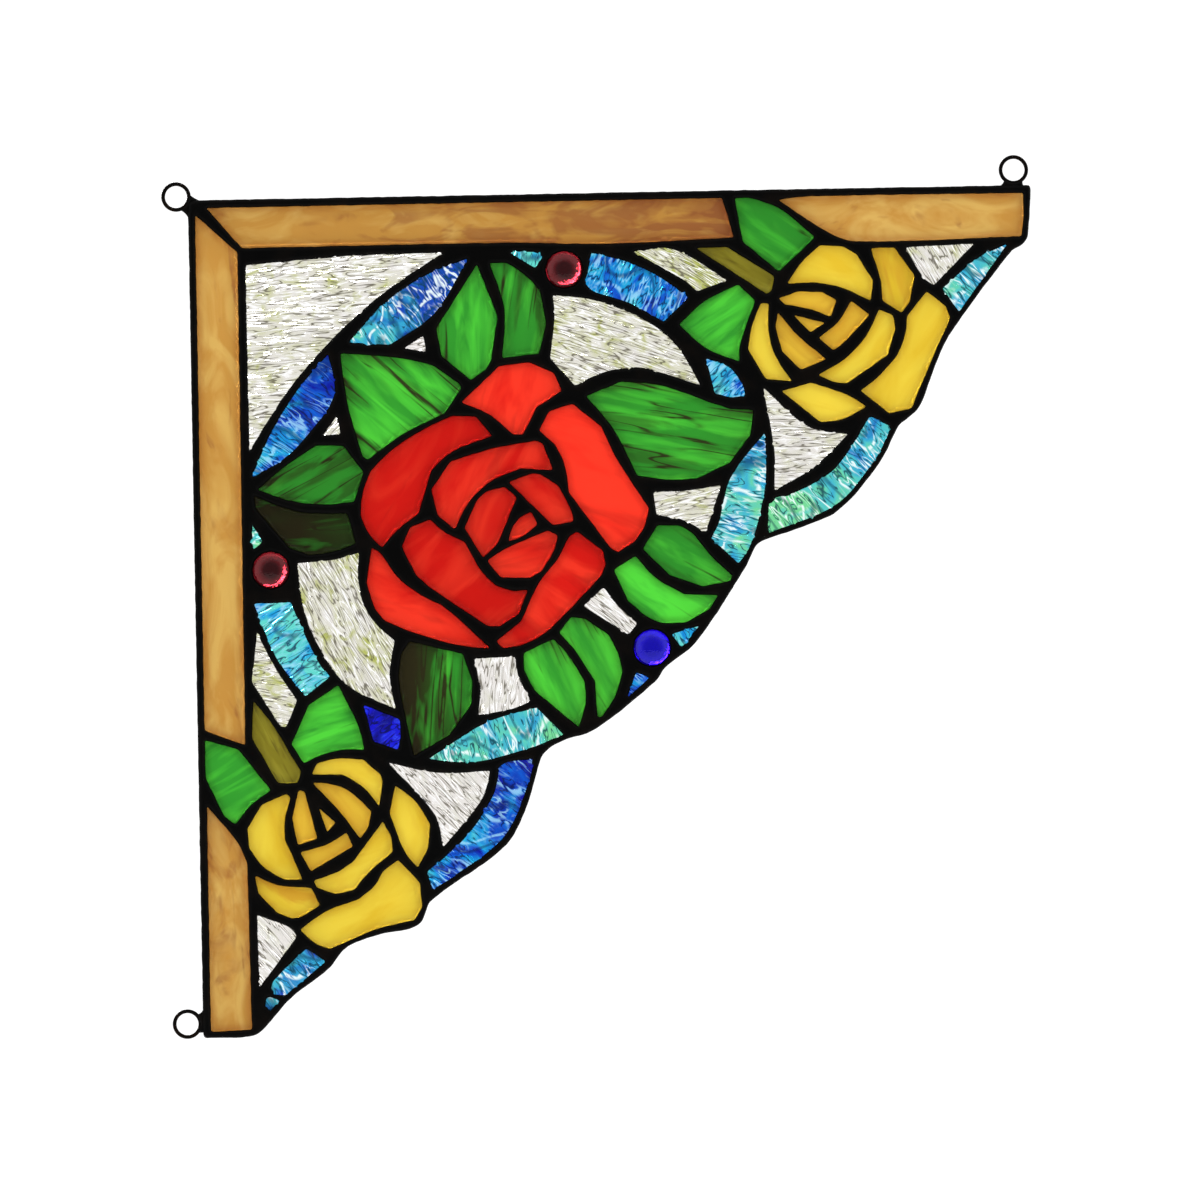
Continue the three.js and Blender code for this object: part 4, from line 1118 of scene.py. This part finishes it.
for vertex in floor_shape.verts:
    vertex.co.z = FLOOR_LEVEL
floor_mesh = bpy.data.meshes.new("floor")
floor_shape.to_mesh(floor_mesh)
floor_shape.free()
floor = bpy.data.objects.new("floor", floor_mesh)
bpy.context.scene.collection.objects.link(floor)
# A plain pale ground without a shine.
pale_floor, floor_tree = blank_material("pale_matt_floor")
floor_finish = {"Base Color": linear("#E8E7E4"), "Roughness": FLOOR_ROUGH}
floor_face = add(floor_tree, "ShaderNodeBsdfPrincipled", floor_finish).outputs[0]
add(floor_tree, "ShaderNodeOutputMaterial", {"Surface": floor_face})
floor_mesh.materials.append(pale_floor)

world = bpy.data.worlds.new("studio")
world.use_nodes = True
bpy.context.scene.world = world
sky = world.node_tree
sky.nodes.clear()
outlook = add(sky, "ShaderNodeTexCoord").outputs["Generated"]
toward = add(sky, "ShaderNodeSeparateXYZ", {0: outlook}).outputs["Y"]
share = add(sky, "ShaderNodeMapRange", {"Value": toward, "From Min": -1.0}).outputs[0]
ramp = add(sky, "ShaderNodeValToRGB", {"Fac": share})
ramp.color_ramp.interpolation = "EASE"
while len(ramp.color_ramp.elements) < len(SKY_LIGHT):
    ramp.color_ramp.elements.new(1)
for stop, (angle, strength) in zip(ramp.color_ramp.elements, SKY_LIGHT.items()):
    stop.position = (1 + math.cos(math.radians(angle))) / 2
    stop.color = (strength, strength, strength, 1)
glow = add(sky, "ShaderNodeBackground", {"Color": ramp.outputs[0]}).outputs[0]
add(sky, "ShaderNodeOutputWorld", {"Surface": glow})

for name, (place, size, turn, power) in LAMPS.items():
    light = bpy.data.lights.new(name, "AREA")
    light.shape = "ELLIPSE"
    light.size, light.size_y = size
    light.energy = power
    lamp = bpy.data.objects.new(name, light)
    bpy.context.scene.collection.objects.link(lamp)
    lamp.location = place
    aim = Vector(LAMP_AIM) - Vector(place)
    spin = Quaternion((0, 0, 1), math.radians(turn))
    lamp.rotation_euler = (aim.to_track_quat("-Z", "Y") @ spin).to_euler()
    lamp.visible_camera = False

# Camera: square on to the panel's front from well away, rolled a degree, as the
# photograph was taken. The view is 0.48 m across with the panel in its middle.
CAMERA_DISTANCE = 3.0
SENSOR_WIDTH = 36
VIEW_WIDTH = 0.48
VIEW_MIDDLE = (0.1666, -0.1643)
CAMERA_ROLL = math.radians(1.06)
lens = bpy.data.cameras.new("camera")
lens.sensor_width = SENSOR_WIDTH
lens.lens = SENSOR_WIDTH * CAMERA_DISTANCE / VIEW_WIDTH
camera = bpy.data.objects.new("camera", lens)
bpy.context.scene.collection.objects.link(camera)
camera.location = (VIEW_MIDDLE[0], -CAMERA_DISTANCE, VIEW_MIDDLE[1])
camera.rotation_euler = (math.pi / 2, CAMERA_ROLL, 0)
bpy.context.scene.camera = camera
bpy.context.scene.view_settings.view_transform = "Standard"
